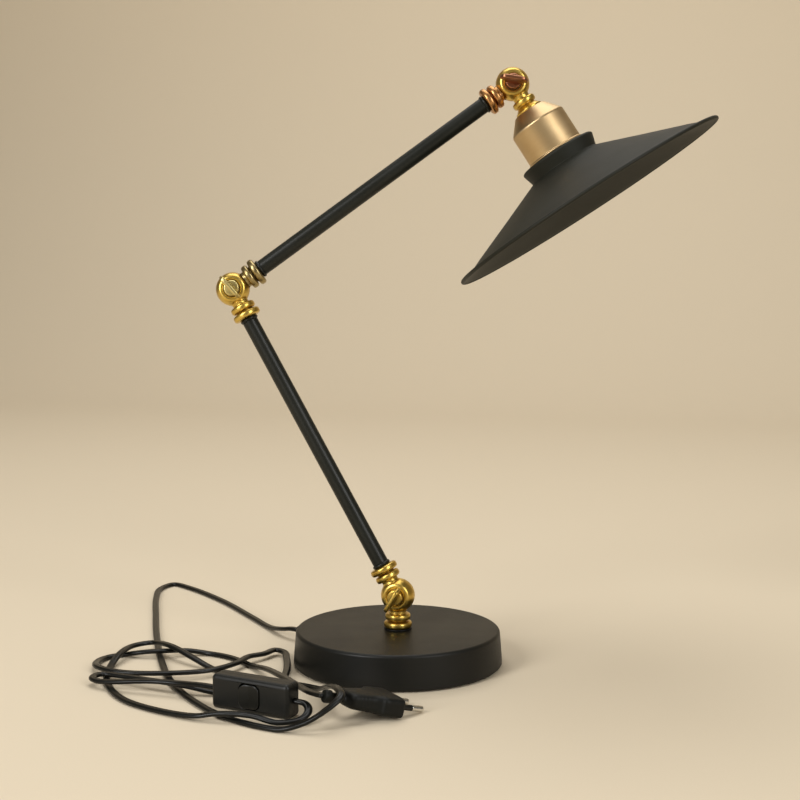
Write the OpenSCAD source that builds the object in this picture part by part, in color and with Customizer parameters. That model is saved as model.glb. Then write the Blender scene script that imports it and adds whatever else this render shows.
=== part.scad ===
// Swing-arm desk lamp: a round weighted base, two arm tubes joined by three
// brass swivel knuckles with wing screws, and a wide shallow metal shade.
// Millimetres. The origin is the middle of the foot's underside, +Z is up, and
// the base knuckle's axis lies along Y with its wing screw towards -Y.

/* [Base] */
// Diameter of the foot at half its height
base_d = 150; // [120:1:200]
// Height of the foot, pad included
base_h = 25.8; // [22:0.1:40]
// How much wider the foot is at the floor than at the top, on the diameter
base_draft = 3.2; // [0:0.1:6]
// Radius of the foot's upper edge
base_edge_r = 2.4; // [1:0.1:5]
// Thickness of the spun steel cover
cover_t = 1.5; // [1:0.1:2.5]
// Thickness of the foam pad under the foot
pad_t = 2; // [1:0.5:4]
// Where the lead leaves the foot, seen from above, anticlockwise from +X
gland_turn = 155; // [120:1:240]
// Height of the lead's way out above the floor
gland_z = 8.5; // [7.5:0.5:10]

/* [Arms] */
// Distance between the middles of the two knuckles on one arm
arm_len = 253; // [180:1:400]
// Outside diameter of the arm tubes
tube_d = 11.5; // [11:0.1:14]
// Lean of the lower arm to the left of upright
lower_lean = 29.3; // [-60:0.1:60]
// Turn of the elbow knuckle about the lower arm
elbow_turn = 14.4; // [-30:0.1:30]
// Bend at the elbow from a straight arm
elbow_bend = 82.2; // [0:0.1:110]
// Bend at the head knuckle from a straight arm
head_bend = 93.8; // [0:0.1:110]

/* [Knuckles] */
// Diameter of a knuckle's ball
ball_d = 24.6; // [20:0.1:26]
// Thickness of the ball across its two flat sides
ball_w = 16.4; // [14:0.1:18]
// Distance from the ball's middle to the end of a neck
reach = 23.9; // [22:0.1:30]
// Diameter of the neck next to the ball
waist_d = 12; // [10:0.1:13]
// Diameter of the bead nearer to the ball
inner_bead_d = 18.4; // [15:0.1:19]
// Diameter of the bead at the end of the neck
outer_bead_d = 20.4; // [17:0.1:22]
// Largest lean that the base knuckle's stop pin allows each way
base_stop = 90; // [60:1:100]
// Largest bend that the other stop pins allow each way
stop_bend = 115; // [90:1:116]
// Gap between the two halves of a knuckle
halves_gap = 0.2; // [0.1:0.05:0.4]

/* [Wing screws] */
// Thread diameter of the wing screws
screw_d = 3.9; // [3:0.1:5]
// Length of the wing across its tips
wing_l = 21; // [14:0.5:24]
// Thickness of the wing
wing_t = 3.2; // [2:0.1:4]
// Distance from the ball's middle to the wing's outer edge
wing_out = 23.4; // [20:0.1:28]

/* [Head] */
// Diameter of the brass cup
cup_d = 42.4; // [38:0.1:60]
// Length of the brass cup
cup_l = 36.9; // [32:0.1:60]
// Thickness of the cup's sheet
cup_t = 1; // [0.6:0.1:2]
// Diameter of the shade at its rim
shade_d = 219.2; // [140:0.2:320]
// Height of the shade, from its flat top to its rim
shade_h = 44; // [36:0.5:80]
// Thickness of the shade's sheet
shade_t = 1; // [0.6:0.1:2]
// Diameter of the shade's collar at the top
collar_d = 58.6; // [54:0.1:80]
// Height of the shade's collar
collar_h = 10.6; // [8:0.1:16]
// Height of the turned-down band at the shade's rim
rim_h = 2.7; // [2:0.1:6]
// Inside diameter of the lampholder's screw shell
lamp_thread_d = 26.6; // [26.5:0.1:27]

/* [Lead] */
// Width of the flat twin lead
lead_w = 5.3; // [5:0.1:6]
// Thickness of the flat twin lead
lead_t = 3.2; // [3:0.1:3.4]
// Length of the switch on the lead
switch_l = 60; // [50:0.5:70]
// Width of the switch, which stands on its long edge
switch_w = 23; // [20:0.5:30]
// Thickness of the switch
switch_t = 15; // [14:0.5:20]
// Width of the plug across its pins
plug_w = 35; // [34:0.5:36]
// Length of the plug without its pins
plug_l = 36; // [34:0.5:40]
// Thickness of the plug
plug_t = 13.7; // [13:0.1:15]
// Diameter of the plug's pins
pin_d = 4; // [4:0.1:4.1]

/* [Hidden] */
$fn = 64;

slip = 0.05;              // clearance of a thread or a shaft in its hole
eps = 0.01;               // how far a cut runs past a face

// the foot
top_r = (base_d - base_draft / 2) / 2;
floor_r = (base_d + base_draft / 2) / 2;
cover_low = pad_t / 2;    // the cover's lower edge stays off the floor
plate_t = 1;
plate_top = pad_t + plate_t;
weight_low = gland_z + lead_w / 2 + 0.5;
weight_top = base_h - cover_t;
weight_r = top_r - cover_t - 1.2;
foot_boss_r = 6;
foot_boss_at = 0.72 * weight_r;
foot_boss_turns = [90, 210, 330];
foot_screw_r = 2;
seat_r = 14;              // pocket under the weight for the nut
seat_top = weight_top - 5;
washer_t = 0.8;

// pipe thread M10 x 1, hollow nipples and nuts
pipe_r = 4.9;
pipe_bore_r = 3.4;
pipe_in = 9;              // how far a nipple goes into a neck or a tube
nut_af = 14;
nut_h = 5;

// knuckles
ball_r = ball_d / 2;
ball_half = ball_w / 2;
ball_z = base_h + washer_t + reach;
bead_half = 2.4;
outer_bead_z = reach - bead_half - 0.1;
inner_bead_z = outer_bead_z - 2 * bead_half - 1;
core_r = 6.5;             // neck between and under the beads
race_in = 3.6;            // ring groove that lets the wires through
race_out = 6.6;
race_deep = 3;
track_r = 8.6;            // the stop pin runs at this radius
stop_pin_r = 1;
stop_pin_turn = 25;       // the pin's place beside the neck, clear of the wire hole
track_deep = 2.2;
sink_r = 6.3;             // round sink for the wing screw's boss
sink_floor = ball_half - 1.8;
spring_t = 0.8;
wire_r = 1.4;
inner_lead_r = 2.6;

// arms
tube_r = tube_d / 2;
collar_l = 2.6;
ring_r = tube_r + 0.85;
tube_from = reach + collar_l;
tube_to = arm_len - tube_from;

// wing screws
boss_r = sink_r - 0.5;
boss_low = sink_floor + spring_t;
boss_top = ball_half + 3.2;

// head, measured down from the head knuckle's middle
cup_top = 22.9;
flange_d = 20.6;
cup_r = cup_d / 2;
cup_shoulder_r = cup_r - 8;
cup_shoulder_h = 11.1;
cup_low = cup_top + cup_l;
shade_top = cup_low + 0.1;
shade_low = shade_top + shade_h;
collar_top_r = collar_d / 2;
collar_low_r = collar_top_r - 2.2;
shade_r = shade_d / 2;
holder_r = cup_r - 2.4;   // thread that carries the shade ring
holder_flange_r = cup_r - cup_t - 0.4;
holder_top = cup_top + cup_shoulder_h + 1;
holder_low = shade_top + 15;
holder_wall = 3.4;
shell_r = lamp_thread_d / 2;
shell_t = 0.5;
shell_l = 22;
shell_top = holder_low - 3 - shell_l;
contact_t = 0.8;
shade_ring_r = (holder_r + collar_low_r - shade_t) / 2 + 0.35;

// switch, plug and lead, lying on the floor
switch_at = [-64.1, -132.8];
switch_turn = -15;
shell_wall = 1.8;
rocker_l = 15;
rocker_w = 16;
rocker_gap = 0.6;
rocker_tilt = 5;
rocker_pivot_y = -4.6;
trunnion_r = 1.5;
switch_screw_r = 1.2;
plug_at = [23.5, -115.8];
plug_turn = 44;
plug_dip = 14;           // it rests on its pins, with its grip held up by the lead
pin_l = 19;
pin_gap = 18.6;
sleeve_l = 10;
neck_l = 10;
knob_l = 5.5;
knob_r = 4.3;
neck_r = 3;
gland_l = 22;             // tapered part of the strain relief outside the cover
gland_hole_r = 4.4;
gland_end_r = 3.4;

// Points of an arc: middle, radius, first and last angle, number of steps.
function arc(c, r, a0, a1, n = 6) =
    [for (i = [0:n]) let (a = a0 + (a1 - a0) * i / n) c + r * [cos(a), sin(a)]];

// Outline of a rectangle about the origin with rounded corners.
function rounded(w, h, r, n = 4) = concat(
    arc([w / 2 - r, h / 2 - r], r, 0, 90, n), arc([r - w / 2, h / 2 - r], r, 90, 180, n),
    arc([r - w / 2, r - h / 2], r, 180, 270, n), arc([w / 2 - r, r - h / 2], r, 270, 360, n));

// ---- frames: each places its children where the pose puts that piece ----
module at_base_knuckle() { translate([0, 0, ball_z]) children(); }
module at_lower_arm() { at_base_knuckle() rotate([0, -lower_lean, 0]) children(); }
module at_elbow() {
    at_lower_arm() translate([0, 0, arm_len]) rotate([0, 0, elbow_turn]) children();
}
module at_upper_arm() { at_elbow() rotate([0, elbow_bend, 0]) children(); }
module at_head_knuckle() { at_upper_arm() translate([0, 0, arm_len]) children(); }
module at_head() { at_head_knuckle() rotate([0, head_bend, 0]) children(); }
module neck_down() { rotate([0, 180, 0]) children(); }
// the hinge axis of a knuckle becomes the children's z, positive to the front
module on_axis() { rotate([90, 0, 0]) children(); }
module at_switch() {
    translate([switch_at[0], switch_at[1], switch_w / 2]) rotate([0, 0, switch_turn]) children();
}
module at_plug() {
    translate([plug_at[0], plug_at[1], plug_t / 2 * cos(plug_dip) + 0.1])
        rotate([0, plug_dip, plug_turn]) children();
}

module base_pad() {
    color("#26241f") difference() {
        cylinder(r = floor_r - 6, h = pad_t, $fn = 128);
        for (a = foot_boss_turns) rotate([0, 0, a])
            translate([foot_boss_at, 0, pad_t - 1.3]) cylinder(r = 4.4, h = 2);
    }
}

module base_plate() {
    color("#3a3a38") difference() {
        translate([0, 0, pad_t]) cylinder(r = floor_r - 2 * cover_t - 0.3, h = plate_t, $fn = 128);
        for (a = foot_boss_turns) rotate([0, 0, a]) translate([foot_boss_at, 0, pad_t - eps])
            cylinder(r = foot_screw_r + 0.2, h = plate_t + 2 * eps);
    }
}

// Pan-head screws up through the plate into the weight, hidden by the pad.
module base_plate_screws() {
    color("#8c8c88") for (a = foot_boss_turns)
        rotate([0, 0, a]) translate([foot_boss_at, 0, pad_t]) {
            difference() {
                translate([0, 0, -1.2]) cylinder(r = 2 * foot_screw_r, h = 1.2);
                for (t = [0, 90]) rotate([0, 0, t])
                    translate([0, 0, -1.1]) cube([5, 0.8, 1], center = true);
            }
            cylinder(r = foot_screw_r, h = weight_low - pad_t + 3);
        }
}

// Cast iron disc with screw bosses, a nut pocket and a channel for the lead.
module base_weight() {
    color("#4b4a48") difference() {
        union() {
            translate([0, 0, weight_low]) rotate_extrude($fn = 128) polygon(concat(
                [[0, 0]],
                arc([weight_r - 1.5, 1.5], 1.5, -90, 0),
                arc([weight_r - 1.5, weight_top - weight_low - 1.5], 1.5, 0, 90),
                [[0, weight_top - weight_low]]));
            for (a = foot_boss_turns) rotate([0, 0, a])
                translate([foot_boss_at, 0, plate_top])
                    cylinder(r = foot_boss_r, h = weight_low - plate_top + 1);
        }
        translate([0, 0, weight_low - eps]) cylinder(r = pipe_r + 0.4, h = base_h);
        translate([0, 0, weight_low - eps]) cylinder(r = seat_r, h = seat_top - weight_low + eps);
        for (a = foot_boss_turns) rotate([0, 0, a]) translate([foot_boss_at, 0, pad_t])
            cylinder(r = foot_screw_r + slip, h = weight_low - pad_t + 4);
    }
}

// Spun steel shell with a rounded top edge and a rolled-in lower edge.
module base_cover() {
    r = base_edge_r;
    t = cover_t;
    color("#191a18") difference() {
        rotate_extrude($fn = 128) polygon(concat(
            [[pipe_r + 0.2, base_h]],
            arc([top_r - r, base_h - r], r, 90, 0, 8),
            arc([floor_r - t, cover_low + t], t, 0, -90, 6),
            [[floor_r - 2 * t, cover_low], [floor_r - 2 * t, cover_low + 0.8],
             [floor_r - t, plate_top + 0.3]],
            arc([top_r - r, base_h - r], r - t, 0, 90, 8),
            [[pipe_r + 0.2, base_h - t]]));
        rotate([0, 0, gland_turn]) translate([floor_r - 8, 0, gland_z]) rotate([0, 90, 0])
            cylinder(r = gland_hole_r + slip, h = 12);
    }
}

module pipe_nipple(z0, z1) {
    translate([0, 0, z0]) difference() {
        cylinder(r = pipe_r, h = z1 - z0);
        translate([0, 0, -eps]) cylinder(r = pipe_bore_r, h = z1 - z0 + 2 * eps);
    }
}

module pipe_nut(z) {
    translate([0, 0, z]) difference() {
        intersection() {
            cylinder(d = nut_af / cos(30), h = nut_h, $fn = 6);
            rotate_extrude() polygon([[0, 0], [nut_af / 2, 0], [nut_af / 2 + 1.1, 0.8],
                [nut_af / 2 + 1.1, nut_h - 0.8], [nut_af / 2, nut_h], [0, nut_h]]);
        }
        translate([0, 0, -eps]) cylinder(r = pipe_r + slip, h = nut_h + 2 * eps);
    }
}

module ring(r, hole_r, z, h) {
    translate([0, 0, z]) difference() {
        cylinder(r = r, h = h);
        translate([0, 0, -eps]) cylinder(r = hole_r, h = h + 2 * eps);
    }
}

module base_nipple() {
    color("#b9a15a") pipe_nipple(seat_top - nut_h - 2.5, base_h + washer_t + pipe_in);
}

module base_nut() { color("#a8a8a2") pipe_nut(seat_top - 1 - nut_h); }

module base_nut_washer() { color("#a8a8a2") ring(11, pipe_r + 0.2, seat_top - 1, 1); }

// From the strain relief to the middle, then up through the nipple.
module base_inner_lead() {
    bend = 6.5;
    thin = 1.5;
    color("#2a2926") rotate([0, 0, gland_turn]) {
        translate([24, 0, gland_z]) rotate([0, 90, 0])
            cylinder(r = inner_lead_r, h = floor_r + gland_l - 24);
        translate([bend, 0, gland_z]) rotate([0, 90, 0]) cylinder(r = thin, h = 18);
        translate([bend, 0, gland_z + bend]) rotate([90, 0, 0]) rotate([0, 0, 180])
            rotate_extrude(angle = 90) translate([bend, 0]) circle(r = thin);
        translate([0, 0, gland_z + bend]) cylinder(r = thin, h = ball_z - 15.5 - gland_z - bend);
    }
}

// Rubber strain relief: inner flange, hole in the cover, tapered ribbed sleeve.
module cord_gland() {
    wall_at = floor_r - cover_t - 1.1;
    color("#141413") rotate([0, 0, gland_turn]) translate([0, 0, gland_z]) rotate([0, 90, 0])
        difference() {
            rotate_extrude() polygon(concat(
                [[0, wall_at - 1.5], [gland_hole_r + 0.9, wall_at - 1.5],
                 [gland_hole_r + 0.9, wall_at], [gland_hole_r, wall_at],
                 [gland_hole_r, floor_r + 0.6], [gland_hole_r + 0.9, floor_r + 0.6]],
                [for (i = [0:4]) each let (
                    x = floor_r + 3 + 3.6 * i, r = gland_hole_r + 0.8 - 0.32 * i)
                    [[r, x], [r - 0.8, x + 0.3], [r - 0.8, x + 1.3], [r - 0.3, x + 1.6]]],
                [[gland_end_r, floor_r + gland_l], [0, floor_r + gland_l]]));
            translate([0, 0, wall_at - 4]) cylinder(r = inner_lead_r + slip, h = gland_l + 10);
        }
}

module stem_washer() {
    color("#151514") rotate_extrude() polygon(concat(
        [[pipe_r + 0.2, base_h]], [[outer_bead_d / 2 - 0.6, base_h]],
        arc([outer_bead_d / 2 - 0.6, base_h + washer_t / 2], washer_t / 2, -90, 90),
        [[pipe_r + 0.2, base_h + washer_t]]));
}

// ---- swivel knuckles ----
// Outline of a neck: waist, core, two rounded beads.
module beaded_neck() {
    translate([0, 6]) square([waist_d / 2, reach - 6]);
    translate([0, inner_bead_z - 1.6]) square([core_r, reach - inner_bead_z + 1.6]);
    translate([inner_bead_d / 2 - bead_half, inner_bead_z]) circle(r = bead_half);
    translate([outer_bead_d / 2 - bead_half, outer_bead_z]) circle(r = bead_half);
}

// Outline of the head's shorter neck: waist, one bead and a cone with a thin flange.
module flanged_neck() {
    translate([0, 6]) square([waist_d / 2, cup_top - 6]);
    translate([8.8 - bead_half, 15.6]) circle(r = bead_half);
    polygon([[0, 17.6], [6.9, 18.4], [flange_d / 2 - 0.4, cup_top - 1.4],
        [flange_d / 2, cup_top - 0.9], [flange_d / 2, cup_top], [0, cup_top]]);
}

// One half of a knuckle, neck upwards, on the front side of the joint plane.
module knuckle_half(neck_end, front, stop_at) {
    difference() {
        union() {
            intersection() {
                sphere(r = ball_r, $fn = 96);
                translate([-ball_r, -ball_half, -ball_r])
                    cube([2 * ball_r, ball_half - halves_gap / 2, 2 * ball_r]);
            }
            difference() {
                rotate_extrude() children();
                intersection() {
                    sphere(r = ball_r + 0.3, $fn = 96);
                    translate([-2 * ball_r, -halves_gap / 2, -2 * ball_r])
                        cube(4 * ball_r);
                }
            }
        }
        // socket for the nipple, and the wires' way down into the ring groove
        translate([0, 0, neck_end - pipe_in]) cylinder(r = pipe_r + slip, h = pipe_in + eps);
        translate([0, 0, neck_end - pipe_in + 2]) rotate([166, 0, 0])
            cylinder(r = wire_r, h = 12.5);
        on_axis() difference() {
            translate([0, 0, -ball_r]) cylinder(r = race_out, h = ball_r + race_deep);
            translate([0, 0, -ball_r]) cylinder(r = race_in, h = 2 * ball_r);
        }
        on_axis() cylinder(r = screw_d / 2 + slip * (front ? 2 : 1), h = 2 * ball_r, center = true);
        if (front) {
            on_axis() translate([0, 0, sink_floor]) cylinder(r = sink_r, h = ball_r);
            // track for the stop pin, from one limit to the other
            half = stop_at + asin(stop_pin_r / track_r) + 0.8;
            rotate([0, 90 + stop_pin_turn, 0]) on_axis() rotate([0, 0, -half])
                rotate_extrude(angle = 2 * half) translate([track_r - stop_pin_r - 0.15, -1])
                    square([2 * stop_pin_r + 0.3, track_deep + 1]);
        } else {
            on_axis() translate([0, 0, ball_half - 0.8]) cylinder(r1 = 4.6, r2 = 5.4, h = 1);
            rotate([0, stop_pin_turn, 0]) translate([0, 0, track_r]) on_axis()
                translate([0, 0, -1]) cylinder(r = stop_pin_r, h = 4.4);
        }
    }
}

module front_half(neck_end = reach, stop_at = stop_bend) {
    knuckle_half(neck_end, true, stop_at) children();
}
module rear_half(neck_end = reach) {
    mirror([0, 1, 0]) knuckle_half(neck_end, false, 0) children();
}

// Dowel in the rear half whose free end runs in the front half's track.
module stop_pin() {
    rotate([0, stop_pin_turn, 0]) translate([0, 0, track_r]) on_axis()
        translate([0, 0, -3.4]) cylinder(r = stop_pin_r, h = 3.4 + track_deep - 0.3);
}

// Split spring washer in the bottom of the front half's sink.
module spring_washer() {
    on_axis() difference() {
        ring(boss_r, screw_d / 2 + 0.25, sink_floor, spring_t);
        rotate([0, 0, 40]) translate([0, -0.4, sink_floor - 1]) cube([2 * boss_r, 0.8, 4]);
    }
}

// Screw, stepped boss and a flat oval wing; turn is the wing's place about the axis.
module wing_screw(turn) {
    tip = wing_t / 2;
    rotate([0, turn, 0]) on_axis() {
        translate([0, 0, -ball_half + 0.8])
            cylinder(d = screw_d, h = ball_half - 0.8 + boss_low + 1);
        rotate_extrude() polygon(concat(
            [[0, boss_low], [boss_r - 0.4, boss_low], [boss_r, boss_low + 0.4]],
            arc([boss_r - 1.2, boss_top - 1.2], 1.2, 0, 90),
            [[0, boss_top]]));
        hull() {
            for (s = [-1, 1]) {
                translate([0, s * 3.6, boss_top - 1]) sphere(r = tip, $fn = 20);
                translate([0, s * (wing_l / 2 - tip), wing_out - 6.6]) sphere(r = tip, $fn = 20);
                translate([0, s * (wing_l / 2 - 4.4), wing_out - tip - 0.4])
                    sphere(r = tip, $fn = 20);
            }
            translate([0, 0, wing_out - tip]) sphere(r = tip, $fn = 20);
        }
    }
}

module base_knuckle_rear() {
    color("#b8912f") at_base_knuckle() neck_down() rear_half() beaded_neck();
}
module base_knuckle_front() {
    color("#b8912f") at_lower_arm() front_half(reach, base_stop) beaded_neck();
}
module elbow_knuckle_front() {
    color("#b8912f") at_elbow() neck_down() front_half() beaded_neck();
}
module elbow_knuckle_rear() {
    color("#8f7f4a") at_upper_arm() rear_half() beaded_neck();
}
module head_knuckle_rear() {
    color("#a8803c") at_head_knuckle() neck_down() rear_half() beaded_neck();
}
module head_knuckle_front() {
    color("#b8912f") at_head() front_half(cup_top) flanged_neck();
}
module base_stop_pin() { color("#9a9a96") at_base_knuckle() neck_down() stop_pin(); }
module upper_stop_pins() {
    color("#9a9a96") {
        at_upper_arm() stop_pin();
        at_head_knuckle() neck_down() stop_pin();
    }
}
module lower_spring_washers() {
    color("#9a9a96") {
        at_base_knuckle() spring_washer();
        at_elbow() spring_washer();
    }
}
module head_spring_washer() { color("#9a9a96") at_head() spring_washer(); }
module base_wing_screw() { color("#b8912f") at_base_knuckle() wing_screw(30); }
module elbow_wing_screw() { color("#c9b560") at_upper_arm() wing_screw(83); }
module head_wing_screw() { color("#9c6a44") at_head_knuckle() wing_screw(45); }

// ---- arms: tube, two collar rings, two nipples and the lead inside ----
module arm_tube() {
    color("#1b1c1a") difference() {
        translate([0, 0, tube_from]) cylinder(r = tube_r, h = tube_to - tube_from);
        cylinder(r = pipe_r - 0.3, h = arm_len);
        translate([0, 0, tube_from - eps]) cylinder(r = pipe_r + slip, h = pipe_in + 1);
        translate([0, 0, tube_to - pipe_in - 1]) cylinder(r = pipe_r + slip, h = pipe_in + 2);
    }
}

module arm_collars() {
    color("#151514") for (z = [reach, tube_to]) translate([0, 0, z])
        rotate_extrude() polygon(concat(
            [[pipe_r + slip, 0]],
            arc([ring_r - 0.7, 0.7], 0.7, -90, 0, 4),
            arc([ring_r - 0.7, collar_l - 0.7], 0.7, 0, 90, 4),
            [[pipe_r + slip, collar_l]]));
}

module arm_nipples() {
    color("#b9a15a") {
        pipe_nipple(reach - pipe_in + 0.2, tube_from + pipe_in);
        pipe_nipple(tube_to - pipe_in, arm_len - reach + pipe_in - 0.2);
    }
}

module arm_lead() {
    color("#2a2926") translate([0, 0, reach - pipe_in + 1])
        cylinder(r = inner_lead_r, h = arm_len - 2 * (reach - pipe_in + 1));
}

module lower_arm_tube() { at_lower_arm() arm_tube(); }
module lower_arm_collars() { at_lower_arm() arm_collars(); }
module lower_arm_nipples() { at_lower_arm() arm_nipples(); }
module lower_arm_lead() { at_lower_arm() arm_lead(); }
module upper_arm_tube() { at_upper_arm() arm_tube(); }
module upper_arm_collars() { at_upper_arm() arm_collars(); }
module upper_arm_nipples() { at_upper_arm() arm_nipples(); }
module upper_arm_lead() { at_upper_arm() arm_lead(); }

// ---- head ----
module head_nipple() {
    color("#b9a15a") at_head() pipe_nipple(cup_top - pipe_in + 0.2, holder_top + 4);
}

module head_nut() {
    color("#a8a8a2") at_head() pipe_nut(cup_top + cup_t);
}

// Spun brass cup: flat top, sloping shoulder, straight wall, small turned-out lip.
module cup() {
    r = cup_r;
    t = cup_t;
    s = cup_top + cup_shoulder_h;
    color("#c6a775") at_head() rotate_extrude($fn = 96) polygon(concat(
        [[pipe_r + 0.2, cup_top]],
        arc([cup_shoulder_r - 1.6, cup_top + 1.6], 1.6, -90, -50, 4),
        arc([r - 3, s + 1.2], 3, -42, 0, 5),
        [[r, cup_low - 2]],
        arc([r, cup_low - 1], 1, -60, 90, 6),
        [[r - t, cup_low]],
        [[r - t, s + 1.4]],
        arc([r - 3, s + 1.6], 2, 0, -42, 5),
        [[cup_shoulder_r - 1.4, cup_top + t], [pipe_r + 0.2, cup_top + t]]));
}

// Insulating body of the lampholder: the flange carries the cup and the shade.
module holder_body() {
    color("#1d1c1a") at_head() difference() {
        union() {
            translate([0, 0, holder_top]) cylinder(r = holder_r, h = holder_low - holder_top);
            translate([0, 0, cup_low - 6]) cylinder(r = holder_flange_r, h = 6);
        }
        translate([0, 0, holder_top - eps]) cylinder(r = pipe_r + slip, h = 9);
        translate([0, 0, holder_top + 8]) cylinder(r = 12, h = holder_low);
        translate([0, 0, shell_top]) cylinder(r = holder_r - holder_wall, h = holder_low);
    }
}

// Threaded shell that takes the lamp cap, with a foot flange on the body's step.
module holder_shell() {
    color("#c9b98a") at_head() union() {
        ring(shell_r + shell_t, shell_r, shell_top, shell_l);
        ring(holder_r - holder_wall, shell_r, shell_top, 1.2);
    }
}

// Spring tongue that meets the middle of the lamp cap, on a small base disc.
module holder_contact() {
    z = holder_top + 8;
    color("#c9b98a") at_head() {
        translate([0, 0, z]) cylinder(r = 7, h = 1.5);
        translate([-3, -2.5, z + 1.5]) cube([contact_t, 5, 4]);
        translate([-3, -2.5, z + 5.5]) cube([7, 5, contact_t]);
        translate([1.5, 0, z + 6]) cylinder(r = 1.8, h = shell_top - z - 6.1);
    }
}

// Ring nut under the shade's top, with finger flutes round its edge.
module shade_ring() {
    flutes = 16;
    color("#1a1a19") at_head() difference() {
        ring(shade_ring_r, holder_r + slip, shade_top + shade_t, 7);
        for (i = [0:flutes - 1]) rotate([0, 0, i * 360 / flutes])
            translate([shade_ring_r + 1, 0, shade_top + shade_t + 1.5]) cylinder(r = 1.8, h = 8);
    }
}

// Spun shade: flat top with a hole, drawn collar, shallow cone, turned-down rim.
module shade() {
    t = shade_t;
    z0 = shade_top;
    z1 = shade_low;
    neck_z = z0 + collar_h;
    color("#20211e") at_head() rotate_extrude($fn = 128) polygon(concat(
        [[holder_r + 0.2, z0]],
        arc([collar_top_r - 1.8, z0 + 1.8], 1.8, -90, 0, 5),
        [[collar_low_r, neck_z]],
        [[shade_r - 1.2, z1 - rim_h - 0.4]],
        arc([shade_r - 0.6, z1 - rim_h + 0.4], 0.6, -90, 0, 3),
        arc([shade_r - 0.7, z1 - 0.7], 0.7, 0, 180, 6),
        [[shade_r - 1.5, z1 - rim_h + 0.9], [collar_low_r - 0.6, neck_z + t]],
        [[collar_low_r - t - 0.2, neck_z + 0.2]],
        arc([collar_top_r - 1.8, z0 + 1.8], 0.8, 0, -90, 5),
        [[holder_r + 0.2, z0 + t]]));
}

// ---- lead, switch and plug ----
// Routes of the two free stretches, [x, y, height above the floor] in mm.
base_route = [
    [-88.7, 41.4, 8.5], [-95.3, 44.4, 8.3], [-103.5, 49.5, 6.4], [-120, 67, 2.3],
    [-144.3, 95.3, 1.7], [-187.3, 143, 1.7], [-231.9, 181.9, 1.7], [-251.3, 192.3, 1.7],
    [-256.1, 173.2, 1.7], [-247.1, 141.7, 1.7], [-223.9, 84.7, 1.7], [-199, 26, 1.7],
    [-171, -34, 1.7], [-143, -85, 1.7], [-114, -122, 1.7], [-76, -155, 1.7], [-37, -170, 1.7],
    [-20, -168.5, 6.5], [-7, -164, 14.5], [0, -155, 21], [-5, -143.5, 22.3], [-14, -128, 19],
    [-24, -106, 11], [-36, -84, 3], [-52, -75, 1.7], [-96, -70, 1.7], [-125, -51, 1.8],
    [-142.7, -42.4, 6.2], [-165.5, -27.8, 9.5], [-185.7, -13.6, 7], [-196.6, -23.2, 6.5],
    [-198.1, -44.9, 6.3], [-196, -68, 1.8], [-180.1, -106, 1.7], [-150.6, -138.6, 1.7],
    [-97.2, -160.1, 3], [-80, -160, 5.7], [-58, -159.5, 5.8], [-40, -160.5, 2.9], [-26, -156, 4.8],
    [-23, -149, 7.8], [-26.5, -142.9, 10.6], [-34.9, -140.6, 11.5]];
plug_route = [
    [-93.2, -125, 11.5], [-106, -121.2, 11.3], [-124, -115.2, 9.6], [-146, -113.5, 8.9],
    [-183, -110.5, 5.3], [-191.1, -106.3, 5.3], [-193.4, -100.1, 5.3], [-190, -93, 5.2],
    [-174, -95, 5.2], [-121, -108, 5.5], [-100, -106.5, 2], [-84, -99.5, 1.7], [-70, -93, 3.6],
    [-63.5, -82, 5.2], [-66.5, -59.3, 5], [-78.3, -21, 3.6], [-85.7, -4.5, 3.7], [-93, -2, 4.2],
    [-97.3, -16.2, 4.8], [-105, -28, 5.4], [-108, -47, 5.5], [-121, -68, 5.3], [-146, -81, 5.3],
    [-174, -86.5, 5.3], [-190, -84, 5.5], [-202.3, -75.3, 4.9], [-210.2, -58.3, 2.8],
    [-210.6, -43.6, 1.7], [-202.3, -33.3, 1.7], [-185.1, -31.6, 4.6], [-168.4, -26.7, 5.3],
    [-156.1, -18.2, 4], [-141.3, -14.6, 1.9], [-122.4, -20.5, 1.7], [-101.4, -36.4, 1.7],
    [-84, -54, 5.3], [-63, -83, 10], [-35.3, -123.2, 15], [-23, -142, 18.2], [-12.5, -150.6, 19.3]];

// A flat lead: an eight-sided oval section carried along the points, level all the way.
module flat_lead(route) {
    n = len(route);
    function way(i) = let (
        a = route[max(i - 1, 0)], b = route[min(i + 1, n - 1)], d = b - a) d / norm(d);
    points = [for (i = [0:n - 1]) let (
        t = way(i), side = [t[1], -t[0], 0] / norm([t[0], t[1]]), up = cross(side, t))
        for (k = [0:7]) route[i] + lead_w / 2 * cos(45 * k + 22.5) / cos(22.5) * side
            + lead_t / 2 * sin(45 * k + 22.5) / cos(22.5) * up];
    walls = [for (i = [0:n - 2], k = [0:7]) let (
        a = 8 * i + k, b = 8 * i + (k + 1) % 8) each [[a, b, a + 8], [b, b + 8, a + 8]]];
    ends = [for (k = [1:6]) each [[0, k + 1, k],
        [8 * n - 8, 8 * n - 8 + k, 8 * n - 8 + k + 1]]];
    polyhedron(points, concat(walls, ends));
}

module base_cord() { color("#1c1c1a") flat_lead(base_route); }
module plug_cord() { color("#1c1c1a") flat_lead(plug_route); }

// Rounded box of the switch, before it is hollowed and split.
module switch_block() {
    r = 3;
    hull() for (x = [-1, 1], y = [-1, 1], z = [-1, 1])
        translate([x * (switch_l / 2 - r), y * (switch_t / 2 - r), z * (switch_w / 2 - r)])
            sphere(r = r, $fn = 24);
}

module switch_hollow() {
    cube([switch_l - 2 * shell_wall - 8, switch_t - 2 * shell_wall, switch_w - 2 * shell_wall],
        center = true);
}

// Holes for the two screws that hold the halves together.
module switch_screw_holes() {
    for (e = [-1, 1]) translate([e * (switch_l / 2 - 4), 0, 0]) on_axis()
        cylinder(r = switch_screw_r + slip, h = 8, center = true);
}

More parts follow.
